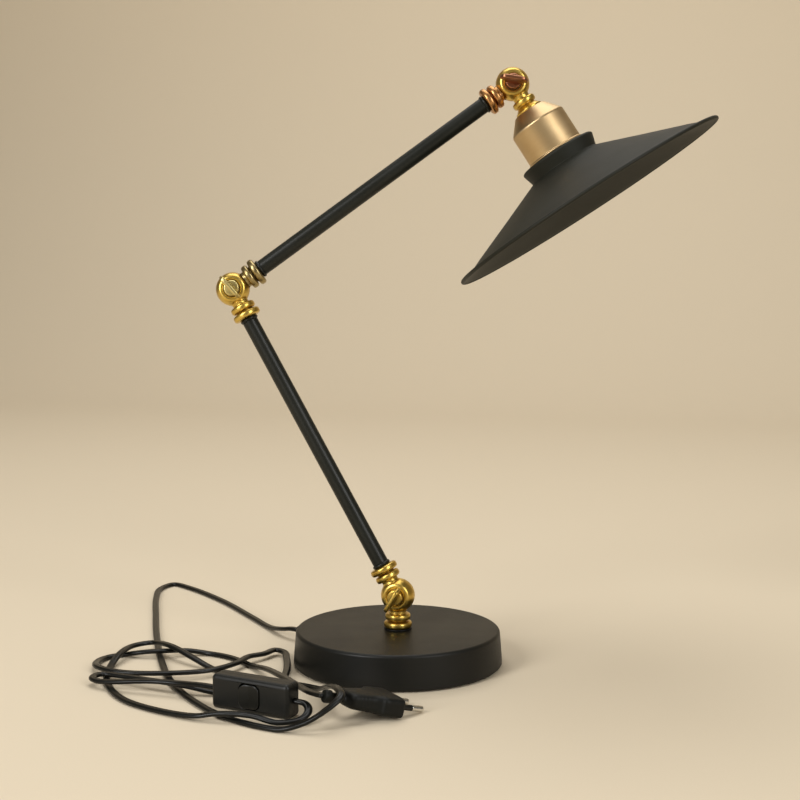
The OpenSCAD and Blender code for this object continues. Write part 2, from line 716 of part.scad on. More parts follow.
// Half with the rocker's opening and its two bearings.
module switch_front() {
    color("#1a1b19") at_switch() difference() {
        union() {
            difference() {
                intersection() {
                    switch_block();
                    translate([-switch_l, -switch_t, -switch_w])
                        cube([2 * switch_l, switch_t, 2 * switch_w]);
                }
                switch_hollow();
            }
            for (e = [-1, 1]) translate([-3.5, -switch_t / 2 + 1, e * (rocker_w / 2 + 1.7) - 0.9])
                cube([7, 5, 1.8]);
        }
        rotate([90, 0, 0]) linear_extrude(height = switch_t)
            polygon(rounded(rocker_l + 2 * rocker_gap, rocker_w + 2 * rocker_gap, 5));
        translate([0, rocker_pivot_y, 0])
            cylinder(r = trunnion_r + slip, h = rocker_w + 5.6, center = true);
        switch_screw_holes();
    }
}

module switch_back() {
    color("#1a1b19") at_switch() difference() {
        intersection() {
            switch_block();
            translate([-switch_l, 0, -switch_w]) cube([2 * switch_l, switch_t, 2 * switch_w]);
        }
        switch_hollow();
        for (e = [-1, 1]) translate([e * (switch_l / 2 - 4), 0, 0]) rotate([-90, 0, 0]) {
            cylinder(r = switch_screw_r + slip, h = switch_t);
            translate([0, 0, switch_t / 2 - 2.4]) cylinder(r = 2.4, h = 5);
        }
    }
}

module switch_screws() {
    color("#9a9a96") at_switch() for (e = [-1, 1])
        translate([e * (switch_l / 2 - 4), 0, 0]) rotate([-90, 0, 0]) difference() {
            union() {
                translate([0, 0, switch_t / 2 - 2.4]) cylinder(r = 2.2, h = 1.5);
                translate([0, 0, -3.5]) cylinder(r = switch_screw_r, h = switch_t / 2 + 2);
            }
            for (t = [0, 90]) rotate([0, 0, t])
                translate([0, 0, switch_t / 2 - 1]) cube([4, 0.7, 1], center = true);
        }
}

// Four screw terminals against the back half's inside.
module switch_terminals() {
    back = switch_t / 2 - shell_wall;
    color("#b9a15a") at_switch() for (x = [-1, 1], z = [-1, 1])
        translate([x * 15, back - 4, z * 5]) difference() {
            cube([7, 8, 6], center = true);
            rotate([0, 90, 0]) cylinder(r = 1.3, h = 8, center = true);
        }
}

// Rocker pressed down on one side; its two faces meet in a shallow V.
module rocker() {
    color("#141513") at_switch() translate([0, rocker_pivot_y, 0]) rotate([0, 0, rocker_tilt])
        union() {
            intersection() {
                rotate([90, 0, 0]) translate([0, 0, -2]) linear_extrude(height = 8)
                    polygon(rounded(rocker_l, rocker_w, 4.6));
                translate([0, 0, -rocker_w / 2]) linear_extrude(height = rocker_w)
                    polygon([[-rocker_l / 2, 1.4], [-rocker_l / 2, -4.5], [0, -3.6],
                        [rocker_l / 2, -4.5], [rocker_l / 2, 1.4]]);
            }
            cylinder(r = trunnion_r, h = rocker_w + 5, center = true);
        }
}

// Flat two-pin plug with a moulded grip, a thin neck and a round knob.
module plug_body() {
    module slice(x, w, t) {
        translate([x, 0, 0]) rotate([90, 0, 90]) linear_extrude(height = 0.1)
            polygon(rounded(w, t, 0.36 * t));
    }
    color("#1a1a18") at_plug() difference() {
        union() {
            hull() {
                slice(-0.1, plug_w - 3, plug_t - 2.4);
                slice(-2, plug_w, plug_t);
                slice(-plug_l * 0.36, plug_w, plug_t);
            }
            hull() {
                slice(-plug_l * 0.36, plug_w, plug_t);
                slice(-plug_l * 0.55, plug_w - 9, plug_t - 1.5);
            }
            hull() {
                slice(-plug_l * 0.55, plug_w - 9, plug_t - 1.5);
                slice(-plug_l + 3, plug_w - 13, plug_t - 2.5);
                slice(-plug_l, plug_w - 17, plug_t - 5);
            }
            translate([-plug_l - neck_l - 1, 0, 0]) rotate([0, 90, 0])
                cylinder(r = neck_r, h = neck_l + 2);
            translate([-plug_l - neck_l - knob_l, 0, 0]) rotate([0, 90, 0])
                rotate_extrude() polygon(concat([[0, 0]], arc([knob_r - 1, 1], 1, -90, 0, 4),
                    arc([knob_r - 1, knob_l - 1], 1, 0, 90, 4), [[0, knob_l]]));
        }
        for (e = [-1, 1]) translate([-8, e * pin_gap / 2, 0]) rotate([0, 90, 0])
            cylinder(r = pin_d / 2 - 0.35, h = 20);
    }
}

module plug_pins() {
    color("#d8d8d2") at_plug() for (s = [-1, 1]) translate([-8, s * pin_gap / 2, 0])
        rotate([0, 90, 0]) rotate_extrude() polygon(concat(
            [[0, 0], [pin_d / 2 - 0.35, 0], [pin_d / 2 - 0.35, 8 + sleeve_l],
             [pin_d / 2, 8 + sleeve_l]],
            arc([pin_d / 2 - 1.6, 8 + pin_l - 1.6], 1.6, 0, 90, 5), [[0, 8 + pin_l]]));
}

module plug_sleeves() {
    color("#1a1a18") at_plug() for (s = [-1, 1]) translate([0, s * pin_gap / 2, 0])
        rotate([0, 90, 0]) ring(pin_d / 2 - 0.1, pin_d / 2 - 0.35, 0, sleeve_l);
}

base_pad();
base_plate();
base_plate_screws();
base_weight();
base_cover();
base_nipple();
base_nut();
base_nut_washer();
base_inner_lead();
cord_gland();
stem_washer();
base_knuckle_rear();
base_stop_pin();
base_knuckle_front();
lower_arm_tube();
lower_arm_collars();
lower_arm_nipples();
lower_arm_lead();
elbow_knuckle_front();
lower_spring_washers();
elbow_knuckle_rear();
upper_arm_tube();
upper_arm_collars();
upper_arm_nipples();
upper_arm_lead();
head_knuckle_rear();
upper_stop_pins();
head_knuckle_front();
head_spring_washer();
head_nipple();
head_nut();
cup();
holder_body();
holder_shell();
holder_contact();
shade_ring();
shade();
base_wing_screw();
elbow_wing_screw();
head_wing_screw();
base_cord();
switch_front();
switch_back();
switch_screws();
switch_terminals();
rocker();
plug_cord();
plug_body();
plug_pins();
plug_sleeves();
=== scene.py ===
"""Swing-arm desk lamp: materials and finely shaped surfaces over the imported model.

The script follows the lamp as it is put together, from the studio and the lead to the
shade. Sizes in a section are millimetres unless a comment says otherwise.
"""
import math

import bmesh
import bpy
import numpy as np
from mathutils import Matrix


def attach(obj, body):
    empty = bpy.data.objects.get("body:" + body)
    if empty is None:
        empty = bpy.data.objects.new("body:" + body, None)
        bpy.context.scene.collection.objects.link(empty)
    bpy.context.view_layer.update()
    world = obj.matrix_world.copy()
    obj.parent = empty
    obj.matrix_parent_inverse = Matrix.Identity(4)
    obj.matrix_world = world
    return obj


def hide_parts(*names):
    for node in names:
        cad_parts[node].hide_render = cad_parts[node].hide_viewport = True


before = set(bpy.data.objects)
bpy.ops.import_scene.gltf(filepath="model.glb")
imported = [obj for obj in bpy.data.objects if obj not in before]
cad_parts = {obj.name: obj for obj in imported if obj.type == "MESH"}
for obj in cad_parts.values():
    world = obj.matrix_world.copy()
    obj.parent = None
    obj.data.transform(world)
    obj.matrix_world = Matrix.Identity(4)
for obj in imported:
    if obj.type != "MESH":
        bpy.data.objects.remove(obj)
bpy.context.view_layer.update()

# ---- Studio ----------------------------------------------------------------------
# The camera stands 1.1 m in front of the lamp, a little above its elbow, turned left and
# tipped down as the photo was taken. Its lens is given in the photo's pixels.
focal_length, picture_width = 1520, 800
tipped_down, turned_left = 6.094, 13.43     # degrees
camera = bpy.data.objects.new("camera", bpy.data.cameras.new("camera"))
bpy.context.scene.collection.objects.link(camera)
camera.data.sensor_width = 36
camera.data.lens = camera.data.sensor_width * focal_length / picture_width
camera.data.clip_start = 0.05
camera.location = (0.2530, -1.0530, 0.3085)
camera.rotation_euler = (math.radians(90 - tipped_down), 0, math.radians(turned_left))
bpy.context.scene.camera = camera
bpy.context.scene.view_settings.view_transform = "Standard"


def linear(hex_colour):
    """sRGB hex to a linear RGBA colour: c/12.92 below 0.04045, else ((c+0.055)/1.055)^2.4."""
    c = np.array([int(hex_colour[i:i + 2], 16) / 255 for i in (1, 3, 5)])
    return (*np.where(c < 0.04045, c / 12.92, ((c + 0.055) / 1.055) ** 2.4), 1.0)


def add(tree, kind, inputs=None, **settings):
    """Adds a node with its settings; an input is given a value or another node's output."""
    made = tree.nodes.new(kind)
    for key, value in settings.items():
        setattr(made, key, value)
    for key, value in (inputs or {}).items():
        if isinstance(value, bpy.types.NodeSocket):
            tree.links.new(value, made.inputs[key])
        else:
            made.inputs[key].default_value = value
    return made


def new_material(name, uv=False):
    """An empty node material, its tree and output node, and the coordinates that its
    patterns read: the object's own in metres, or a piece's UV map in mm."""
    made = bpy.data.materials.new(name)
    made.use_nodes = True
    tree = made.node_tree
    tree.nodes.clear()
    if uv:
        where = add(tree, "ShaderNodeUVMap", uv_map="UVMap").outputs[0]
    else:
        where = add(tree, "ShaderNodeTexCoord").outputs["Object"]
    return made, tree, tree.nodes.new("ShaderNodeOutputMaterial"), where


same_point = 2e-6       # metres; points of a mesh that are nearer than this are one


def mesh_piece(name, patches, material, normals=True):
    """One object from patches (points, uv), grids of shape (rows, columns, 3) and (..., 2)
    in mm. Each cell of a grid is a face; equal points are merged, so seams and poles close,
    and the faces of closed surfaces are turned outwards. normals weights them by area."""
    points, uvs, faces, start = [], [], [], 0
    for grid, uv in patches:
        rows, cols = grid.shape[:2]
        at = np.arange(rows * cols).reshape(rows, cols) + start
        faces.append(np.stack([at[:-1, :-1], at[1:, :-1], at[1:, 1:], at[:-1, 1:]], -1).reshape(-1, 4))
        points.append(grid.reshape(-1, 3))
        uvs.append(uv.reshape(-1, 2))
        start += rows * cols
    faces = np.concatenate(faces)
    mesh = bpy.data.meshes.new(name)
    mesh.from_pydata((np.concatenate(points) * 0.001).tolist(), [], faces.tolist())
    layer = mesh.uv_layers.new(name="UVMap")
    layer.uv.foreach_set("vector", np.concatenate(uvs)[faces.ravel()].ravel())
    shell = bmesh.new()
    shell.from_mesh(mesh)
    bmesh.ops.remove_doubles(shell, verts=shell.verts, dist=same_point)
    bmesh.ops.recalc_face_normals(shell, faces=shell.faces)
    shell.to_mesh(mesh)
    shell.free()
    mesh.polygons.foreach_set("use_smooth", np.ones(len(mesh.polygons), bool))
    mesh.materials.append(material)
    made = bpy.data.objects.new(name, mesh)
    bpy.context.scene.collection.objects.link(made)
    if normals:
        made.modifiers.new("area weighted normals", "WEIGHTED_NORMAL").weight = 80
    return made


def arc(cx, cy, r, a0, a1, n=8):
    """n+1 points of an arc: centre + r (cos a, sin a), from a0 to a1 degrees."""
    a = np.radians(np.linspace(a0, a1, n + 1))
    return np.stack([cx + r * np.cos(a), cy + r * np.sin(a)], 1)


def run(*parts):
    """Joins points and arcs into one outline."""
    return np.concatenate([np.atleast_2d(np.asarray(p, float)) for p in parts])


# Pale matt paper sweep: flat under the lamp, then curved up to a wall 2.4 m behind it. It
# is a profile of a floor, a quarter circle of 0.9 m and a wall, drawn out 9 m wide.
paper, tree, out, where = new_material("seamless_paper_matt")
fibre = add(tree, "ShaderNodeTexNoise", {"Vector": where, "Scale": 900.0, "Detail": 4.0})
tone = add(tree, "ShaderNodeMix", {0: fibre.outputs[0], 6: linear("#d9cab0"), 7: linear("#dfd1b8")},
           data_type="RGBA")
skin = add(tree, "ShaderNodeBump", {"Height": fibre.outputs[0], "Strength": 0.15, "Distance": 0.0002})
body = add(tree, "ShaderNodeBsdfPrincipled", {"Base Color": tone.outputs[2], "Roughness": 0.85,
                                              "Normal": skin.outputs[0]})
tree.links.new(body.outputs[0], out.inputs[0])
side_on = run([[-5000, 0], [-1500, 0], [1200, 0]], arc(1500, 900, 900, -90, 0, 24), [[2400, 3200]])
wide = np.linspace(-4500, 4500, 3)
sweep = np.stack([wide + 0 * side_on[:, :1], side_on[:, :1] + 0 * wide, side_on[:, 1:] + 0 * wide], -1)
sweep = mesh_piece("paper_sweep", [(sweep, sweep[..., :2])], paper, normals=False)

# Two tall strip boxes in front, some 42 degrees left and right of the camera, give the
# brass its paired highlights; a large overhead panel and a dim warm world fill the
# shadows. Places and sizes are metres, powers are watts.
for name, place, aim, size, power in (
        ("strip_left", (-1.05, -1.8, 1.15), (-0.03, 0, 0.3), (0.6, 1.5), 35.0),
        ("strip_right", (1.65, -1.2, 1.15), (-0.03, 0, 0.3), (0.55, 1.5), 21.0),
        ("overhead", (-0.15, 0.7, 2.1), (-0.05, 0.75, 0.1), (2.0, 1.6), 27.0)):
    lamp = bpy.data.lights.new(name, "AREA")
    lamp.shape, lamp.size, lamp.size_y, lamp.energy = "RECTANGLE", size[0], size[1], power
    holder = bpy.data.objects.new(name, lamp)
    bpy.context.scene.collection.objects.link(holder)
    holder.location = place
    aimed = np.array(aim) - np.array(place)
    flat_far = math.hypot(aimed[0], aimed[1])
    holder.rotation_euler = (math.atan2(flat_far, -aimed[2]), 0,
                             math.atan2(aimed[1], aimed[0]) - math.pi / 2)
world = bpy.data.worlds.new("studio")
bpy.context.scene.world = world
world.use_nodes = True
glow = world.node_tree.nodes["Background"]
glow.inputs["Color"].default_value = linear("#c9bfae")
glow.inputs["Strength"].default_value = 0.3

# ---- Lead ------------------------------------------------------------------------
# Flat twin mains lead, 5.3 x 3.2 mm, extruded glossy PVC with a shallow groove between
# its two cores. One stretch runs from the foot to the switch, one on to the plug.
lead_width, lead_height = 5.3, 3.2
lead_rest = 1.65            # the middle of the lead is at least this high above the floor
lead_step = 1.6             # from one ring of points to the next
lead_around = 33            # points in a ring, the first and last the same
pvc, tree, out, where = new_material("extruded_pvc_glossy", uv=True)
stretched = add(tree, "ShaderNodeMapping", {"Vector": where, "Scale": (0.9, 0.08, 1.0)})
draw_marks = add(tree, "ShaderNodeTexNoise", {"Vector": stretched.outputs[0], "Scale": 1.0, "Detail": 3.0})
ripple = add(tree, "ShaderNodeTexNoise", {"Vector": where, "Scale": 0.16, "Detail": 1.0})
uneven = add(tree, "ShaderNodeMath", {0: draw_marks.outputs[0], 1: ripple.outputs[0]}, operation="ADD")
gloss = add(tree, "ShaderNodeMapRange", {"Value": draw_marks.outputs[0], "To Min": 0.26, "To Max": 0.38})
tone = add(tree, "ShaderNodeMix", {0: ripple.outputs[0], 6: linear("#060705"), 7: linear("#0b0c0a")},
           data_type="RGBA")
skin = add(tree, "ShaderNodeBump", {"Height": uneven.outputs[0], "Strength": 0.2, "Distance": 0.0002})
body = add(tree, "ShaderNodeBsdfPrincipled", {
    "Base Color": tone.outputs[2], "Roughness": gloss.outputs[0], "IOR": 1.36, "Normal": skin.outputs[0]})
tree.links.new(body.outputs[0], out.inputs[0])

foot_to_switch = [
    [-88.7, 41.4, 8.5], [-95.3, 44.4, 8.3], [-103.5, 49.5, 6.4], [-120, 67, 2.3],
    [-144.3, 95.3, 1.7], [-187.3, 143, 1.7], [-231.9, 181.9, 1.7], [-251.3, 192.3, 1.7],
    [-256.1, 173.2, 1.7], [-247.1, 141.7, 1.7], [-223.9, 84.7, 1.7], [-199, 26, 1.7],
    [-171, -34, 1.7], [-143, -85, 1.7], [-114, -122, 1.7], [-76, -155, 1.7], [-37, -170, 1.7],
    [-20, -168.5, 6.5], [-7, -164, 14.5], [0, -155, 21], [-5, -143.5, 22.3], [-14, -128, 19],
    [-24, -106, 11], [-36, -84, 3], [-52, -75, 1.7], [-96, -70, 1.7], [-125, -51, 1.8],
    [-142.7, -42.4, 6.2], [-165.5, -27.8, 9.5], [-185.7, -13.6, 7], [-196.6, -23.2, 6.5],
    [-198.1, -44.9, 6.3], [-196, -68, 1.8], [-180.1, -106, 1.7], [-150.6, -138.6, 1.7],
    [-97.2, -160.1, 3], [-80, -160, 5.7], [-58, -159.5, 5.8], [-40, -160.5, 2.9], [-26, -156, 4.8],
    [-23, -149, 7.8], [-26.5, -142.9, 10.6], [-34.9, -140.6, 11.5]]
switch_to_plug = [
    [-93.2, -125, 11.5], [-106, -121.2, 11.3], [-124, -115.2, 9.6], [-146, -113.5, 8.9],
    [-183, -110.5, 5.3], [-191.1, -106.3, 5.3], [-193.4, -100.1, 5.3], [-190, -93, 5.2],
    [-174, -95, 5.2], [-121, -108, 5.5], [-100, -106.5, 2], [-84, -99.5, 1.7], [-70, -93, 3.6],
    [-63.5, -82, 5.2], [-66.5, -59.3, 5], [-78.3, -21, 3.6], [-85.7, -4.5, 3.7], [-93, -2, 4.2],
    [-97.3, -16.2, 4.8], [-105, -28, 5.4], [-108, -47, 5.5], [-121, -68, 5.3], [-146, -81, 5.3],
    [-174, -86.5, 5.3], [-190, -84, 5.5], [-202.3, -75.3, 4.9], [-210.2, -58.3, 2.8],
    [-210.6, -43.6, 1.7], [-202.3, -33.3, 1.7], [-185.1, -31.6, 4.6], [-168.4, -26.7, 5.3],
    [-156.1, -18.2, 4], [-141.3, -14.6, 1.9], [-122.4, -20.5, 1.7], [-101.4, -36.4, 1.7],
    [-84, -54, 5.3], [-63, -83, 10], [-35.3, -123.2, 15], [-23, -142, 18.2], [-12.5, -150.6, 19.3]]


def eased_line(points, step):
    """Smooth curve through the points, cut into equal steps. Knots are spaced by the
    square root of the distance; on each span the curve is three rounds of blends between
    neighbouring points, each blend linear in the knot value."""
    p = np.asarray(points, float)
    p = np.concatenate([[2 * p[0] - p[1]], p, [2 * p[-1] - p[-2]]])
    k = np.r_[0, np.cumsum(np.sqrt(np.linalg.norm(np.diff(p, axis=0), axis=1)))]
    a, b, c, d = p[:-3, None], p[1:-2, None], p[2:-1, None], p[3:, None]
    ka, kb, kc, kd = (k[i:len(k) - 3 + i, None, None] for i in range(4))
    t = kb + (kc - kb) * np.linspace(0, 1, 12, endpoint=False)[None, :, None]
    ab = (a * (kb - t) + b * (t - ka)) / (kb - ka)
    bc = (b * (kc - t) + c * (t - kb)) / (kc - kb)
    cd = (c * (kd - t) + d * (t - kc)) / (kd - kc)
    abc = (ab * (kc - t) + bc * (t - ka)) / (kc - ka)
    bcd = (bc * (kd - t) + cd * (t - kb)) / (kd - kb)
    line = np.concatenate([((abc * (kc - t) + bcd * (t - kb)) / (kc - kb)).reshape(-1, p.shape[1]),
                           p[-2:-1]])
    far = np.r_[0, np.cumsum(np.linalg.norm(np.diff(line, axis=0), axis=1))]
    cuts = np.linspace(0, far[-1], int(far[-1] / step) + 1)
    return np.stack([np.interp(cuts, far, column) for column in line.T], 1), cuts


def twin_lead(points):
    """Oval twin section carried along the line, level all the way: x = width / 2 c^0.85,
    y = height / 2 s^0.8 less a groove of a fifth in the middle, c and s the cosine and
    sine. The eased line never comes nearer the floor than lead_rest. Also gives the line
    in metres."""
    line, far = eased_line(points, lead_step)
    line[:, 2] = np.maximum(line[:, 2], lead_rest)
    way = np.gradient(line, axis=0)
    way /= np.linalg.norm(way, axis=1)[:, None]
    across = np.stack([way[:, 1], -way[:, 0], 0 * way[:, 0]], 1)
    across /= np.linalg.norm(across, axis=1)[:, None]
    up = np.cross(across, way)
    a = np.linspace(0, 2 * np.pi, lead_around)
    x = lead_width / 2 * np.sign(np.cos(a)) * abs(np.cos(a)) ** 0.85
    groove = 0.2 * np.exp(-(x / 0.55) ** 2)
    y = lead_height / 2 * np.sign(np.sin(a)) * abs(np.sin(a)) ** 0.8 * (1 - groove)
    grid = line[:, None] + x[None, :, None] * across[:, None] + y[None, :, None] * up[:, None]
    ends = [np.repeat(line[i][None, None], lead_around, 1) for i in (0, -1)]
    grid = np.concatenate([ends[0], grid, ends[1]])
    far = np.r_[far[0], far, far[-1]]
    girth = 14
    uv = np.stack([a / (2 * np.pi) * girth + 0 * far[:, None], far[:, None] + 0 * a], -1)
    return grid, uv, line / 1000


for name, node_name, points in (("base_lead", "base_cord", foot_to_switch),
                                ("plug_lead", "plug_cord", switch_to_plug)):
    grid, uv, line = twin_lead(points)
    lead = mesh_piece(name, [(grid, uv)], pvc, normals=False)
    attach(lead, "base")
    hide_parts(node_name)

# ---- Foot ------------------------------------------------------------------------
# Spun steel cover 150 mm across and 26 mm high with a soft top edge and a rolled lower
# edge, powder coated satin black. The gland of the lead sits in its rear left side.
foot_r, foot_top, stem_hole_r = 75.5, 25.8, 5.1


def placed(grid, frame_matrix):
    """Grid points carried into the lamp's frame: rotation times point plus shift."""
    return grid @ frame_matrix[:3, :3].T + frame_matrix[:3, 3]


def turned(outline, frame_matrix=np.eye(4), around=128):
    """Surface of revolution: outline point (r, h) goes to (r cos a, r sin a, h).
    uv is (a times the largest radius, distance along the outline)."""
    a = np.linspace(0, 2 * np.pi, around + 1)
    r, h = outline[:, :1], outline[:, 1:]
    grid = np.stack([r * np.cos(a), r * np.sin(a), h + 0 * a], -1)
    far = np.r_[0, np.cumsum(np.linalg.norm(np.diff(outline, axis=0), axis=1))][:, None]
    uv = np.stack([r.max() * a + 0 * far, far + 0 * a], -1)
    return placed(grid, frame_matrix), uv


def powder_coat(name, dark, light, rough, grain=0.7):
    """Powder coat: fine orange peel whose bumps are grain mm apart, broad faint changes
    of tone from handling, and a satin sheen that varies a little with both."""
    made, tree, out, where = new_material(name)
    peel = add(tree, "ShaderNodeTexNoise", {"Vector": where, "Scale": 1000 / grain, "Detail": 2.0,
                                            "Roughness": 0.6})
    cloud = add(tree, "ShaderNodeTexNoise", {"Vector": where, "Scale": 22.0, "Detail": 3.0})
    tone = add(tree, "ShaderNodeMix", {0: cloud.outputs[0], 6: linear(dark), 7: linear(light)},
               data_type="RGBA")
    both = add(tree, "ShaderNodeMath", {0: peel.outputs[0], 1: cloud.outputs[0]}, operation="MULTIPLY")
    satin = add(tree, "ShaderNodeMapRange", {"Value": both.outputs[0], "From Min": 0.1, "From Max": 0.45,
                                             "To Min": rough - 0.06, "To Max": rough + 0.08})
    skin = add(tree, "ShaderNodeBump", {"Height": peel.outputs[0], "Strength": 0.22,
                                        "Distance": grain * 0.0002})
    body = add(tree, "ShaderNodeBsdfPrincipled", {"Base Color": tone.outputs[2],
                                                  "Roughness": satin.outputs[0], "IOR": 1.34,
                                                  "Normal": skin.outputs[0]})
    tree.links.new(body.outputs[0], out.inputs[0])
    return made


foot_paint = powder_coat("powder_coat_satin_black", "#0d0e0b", "#14130f", 0.44)
foot_profile = run([[stem_hole_r, foot_top], [40, foot_top], [68, foot_top]],
                   arc(71.8, 23.4, 2.4, 90, 1.5, 12), [[foot_r, 8]],
                   arc(74.3, 2.5, 1.5, 0, -90, 8), [[72.8, 1.0], [72.8, 1.8], [74.2, 3.3]],
                   arc(71.8, 23.4, 0.9, 0, 90, 8), [[stem_hole_r, 24.3], [stem_hole_r, foot_top]])
cover = mesh_piece("foot_cover", [turned(foot_profile, around=256)], foot_paint)
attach(cover, "base")
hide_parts("base_cover")

# Inside the foot: a grey iron weight with the grain of its sand mould, 1.25 mm, a
# zinc-plated plate, nut, washer and screws with spangles of 2.4 mm, and under them a pad
# of foam with closed cells of 0.9 mm that keeps the foot from marking.
iron, tree, out, where = new_material("grey_iron_as_cast")
sand = add(tree, "ShaderNodeTexNoise", {"Vector": where, "Scale": 800.0, "Detail": 6.0})
tone = add(tree, "ShaderNodeMix", {0: sand.outputs[0], 6: linear("#3a3937"), 7: linear("#6a6762")},
           data_type="RGBA")
skin = add(tree, "ShaderNodeBump", {"Height": sand.outputs[0], "Strength": 0.8, "Distance": 0.0004})
body = add(tree, "ShaderNodeBsdfPrincipled", {"Base Color": tone.outputs[2], "Roughness": 0.7,
                                              "Metallic": 0.7, "Normal": skin.outputs[0]})
tree.links.new(body.outputs[0], out.inputs[0])

zinc, tree, out, where = new_material("zinc_plated_steel")
spangle = add(tree, "ShaderNodeTexNoise", {"Vector": where, "Scale": 420.0, "Detail": 4.0})
tone = add(tree, "ShaderNodeMix", {0: spangle.outputs[0], 6: linear("#9c9d9b"), 7: linear("#c9cac6")},
           data_type="RGBA")
satin = add(tree, "ShaderNodeMapRange", {"Value": spangle.outputs[0], "To Min": 0.28, "To Max": 0.46})
body = add(tree, "ShaderNodeBsdfPrincipled", {"Base Color": tone.outputs[2], "Roughness": satin.outputs[0],
                                              "Metallic": 1.0})
tree.links.new(body.outputs[0], out.inputs[0])

foam, tree, out, where = new_material("closed_cell_foam")
cells = add(tree, "ShaderNodeTexVoronoi", {"Vector": where, "Scale": 1000 / 0.9})
tone = add(tree, "ShaderNodeMix", {0: cells.outputs["Distance"], 6: linear("#2b2925"),
                                   7: linear("#1c1b18")}, data_type="RGBA")
skin = add(tree, "ShaderNodeBump", {"Height": cells.outputs["Distance"], "Strength": 0.6,
                                    "Distance": 0.0003})
body = add(tree, "ShaderNodeBsdfPrincipled", {"Base Color": tone.outputs[2], "Roughness": 0.9,
                                              "Sheen Weight": 0.15, "Normal": skin.outputs[0]})
tree.links.new(body.outputs[0], out.inputs[0])


def dress(material, *names):
    """Gives these CAD nodes a material, in every slot that they have."""
    for name in names:
        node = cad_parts[name]
        if not node.material_slots:
            node.data.materials.append(None)
        for place in node.material_slots:
            place.material = material


dress(iron, "base_weight")
dress(foam, "base_pad")
dress(zinc, "base_plate", "base_plate_screws", "base_nut", "base_nut_washer")

# Hollow threaded nipples hold the foot, knuckles, arms and cup together; they are steel,
# yellow passivated, which shimmers over some 4 mm. The lead inside them has a grey matt
# jacket, chalky over 1.4 mm.
yellow_zinc, tree, out, where = new_material("yellow_zinc_steel")
rainbow = add(tree, "ShaderNodeTexNoise", {"Vector": where, "Scale": 240.0, "Detail": 3.0})
tone = add(tree, "ShaderNodeMix", {0: rainbow.outputs[0], 6: linear("#b48d3c"), 7: linear("#c9b56a")},
           data_type="RGBA")
body = add(tree, "ShaderNodeBsdfPrincipled",
           {"Base Color": tone.outputs[2], "Roughness": 0.38, "Metallic": 1.0})
tree.links.new(body.outputs[0], out.inputs[0])
jacket, tree, out, where = new_material("inner_pvc_matt")
chalk = add(tree, "ShaderNodeTexNoise", {"Vector": where, "Scale": 700.0, "Detail": 3.0})
tone = add(tree, "ShaderNodeMix", {0: chalk.outputs[0], 6: linear("#24231f"), 7: linear("#34322d")},
           data_type="RGBA")
body = add(tree, "ShaderNodeBsdfPrincipled", {"Base Color": tone.outputs[2], "Roughness": 0.6, "IOR": 1.53})
tree.links.new(body.outputs[0], out.inputs[0])
dress(yellow_zinc, "base_nipple", "lower_arm_nipples", "upper_arm_nipples", "head_nipple")
dress(jacket, "base_inner_lead", "lower_arm_lead", "upper_arm_lead")

# Strain relief: a tapered rubber sleeve with five ribs, clipped in the cover's side, and
# the thin rubber washer under the lowest knuckle, both pressed from black rubber.


def moulded_rubber(name, dark, light, rough):
    """Pressed rubber or soft PVC: a fine spark-eroded texture 0.25 mm apart and a dusty
    change of tone over some 15 mm."""
    made, tree, out, where = new_material(name)
    pits = add(tree, "ShaderNodeTexNoise", {"Vector": where, "Scale": 4000.0, "Detail": 2.0})
    dust = add(tree, "ShaderNodeTexNoise", {"Vector": where, "Scale": 65.0, "Detail": 4.0})
    tone = add(tree, "ShaderNodeMix", {0: dust.outputs[0], 6: linear(dark), 7: linear(light)},
               data_type="RGBA")
    satin = add(tree, "ShaderNodeMapRange",
                {"Value": dust.outputs[0], "To Min": rough - 0.08, "To Max": rough + 0.08})
    skin = add(tree, "ShaderNodeBump", {"Height": pits.outputs[0], "Strength": 0.3, "Distance": 0.00006})
    body = add(tree, "ShaderNodeBsdfPrincipled", {"Base Color": tone.outputs[2],
                                                  "Roughness": satin.outputs[0], "IOR": 1.3,
                                                  "Normal": skin.outputs[0]})
    tree.links.new(body.outputs[0], out.inputs[0])
    return made


def shift(x, y, z):
    """Matrix of a move."""
    m = np.eye(4)
    m[:3, 3] = x, y, z
    return m


def turn(axis, degrees):
    """Matrix of a right-handed turn about x, y or z (0, 1 or 2)."""
    c, s = math.cos(math.radians(degrees)), math.sin(math.radians(degrees))
    i, j = (axis + 1) % 3, (axis + 2) % 3
    m = np.eye(4)
    m[i, i], m[i, j], m[j, i], m[j, j] = c, -s, s, c
    return m


rubber = moulded_rubber("pressed_rubber_black", "#0e0e0d", "#161614", 0.5)
at_gland = turn(2, 155) @ shift(0, 0, 8.5) @ turn(1, 90)
bore_r, rib_pitch, rib_taper = 2.66, 3.6, 0.3
ribs = [run([[4.45 - rib_taper * i, 78.6 + rib_pitch * i]],
            arc(4.7 - rib_taper * i, 79.8 + rib_pitch * i, 0.5, -120, 120, 6),
            [[4.3 - rib_taper * i, 81.2 + rib_pitch * i]]) for i in range(5)]
gland_profile = run([[bore_r, 76.0], [5.2, 76.0]], arc(4.9, 76.8, 0.4, 0, 90, 4), *ribs,
                    arc(2.9, 97.3, 0.5, 10, 80, 4), [[bore_r, 97.8], [bore_r, 76.0]])
gland = mesh_piece("lead_strain_relief", [turned(gland_profile, at_gland, 64)], rubber)
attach(gland, "base")
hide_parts("cord_gland")
washer_profile = run([[stem_hole_r, foot_top]], arc(9.6, foot_top + 0.4, 0.4, -90, 90, 6),
                     [[stem_hole_r, foot_top + 0.8], [stem_hole_r, foot_top]])
washer = mesh_piece("knuckle_washer", [turned(washer_profile)], rubber)
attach(washer, "base")
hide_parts("stem_washer")

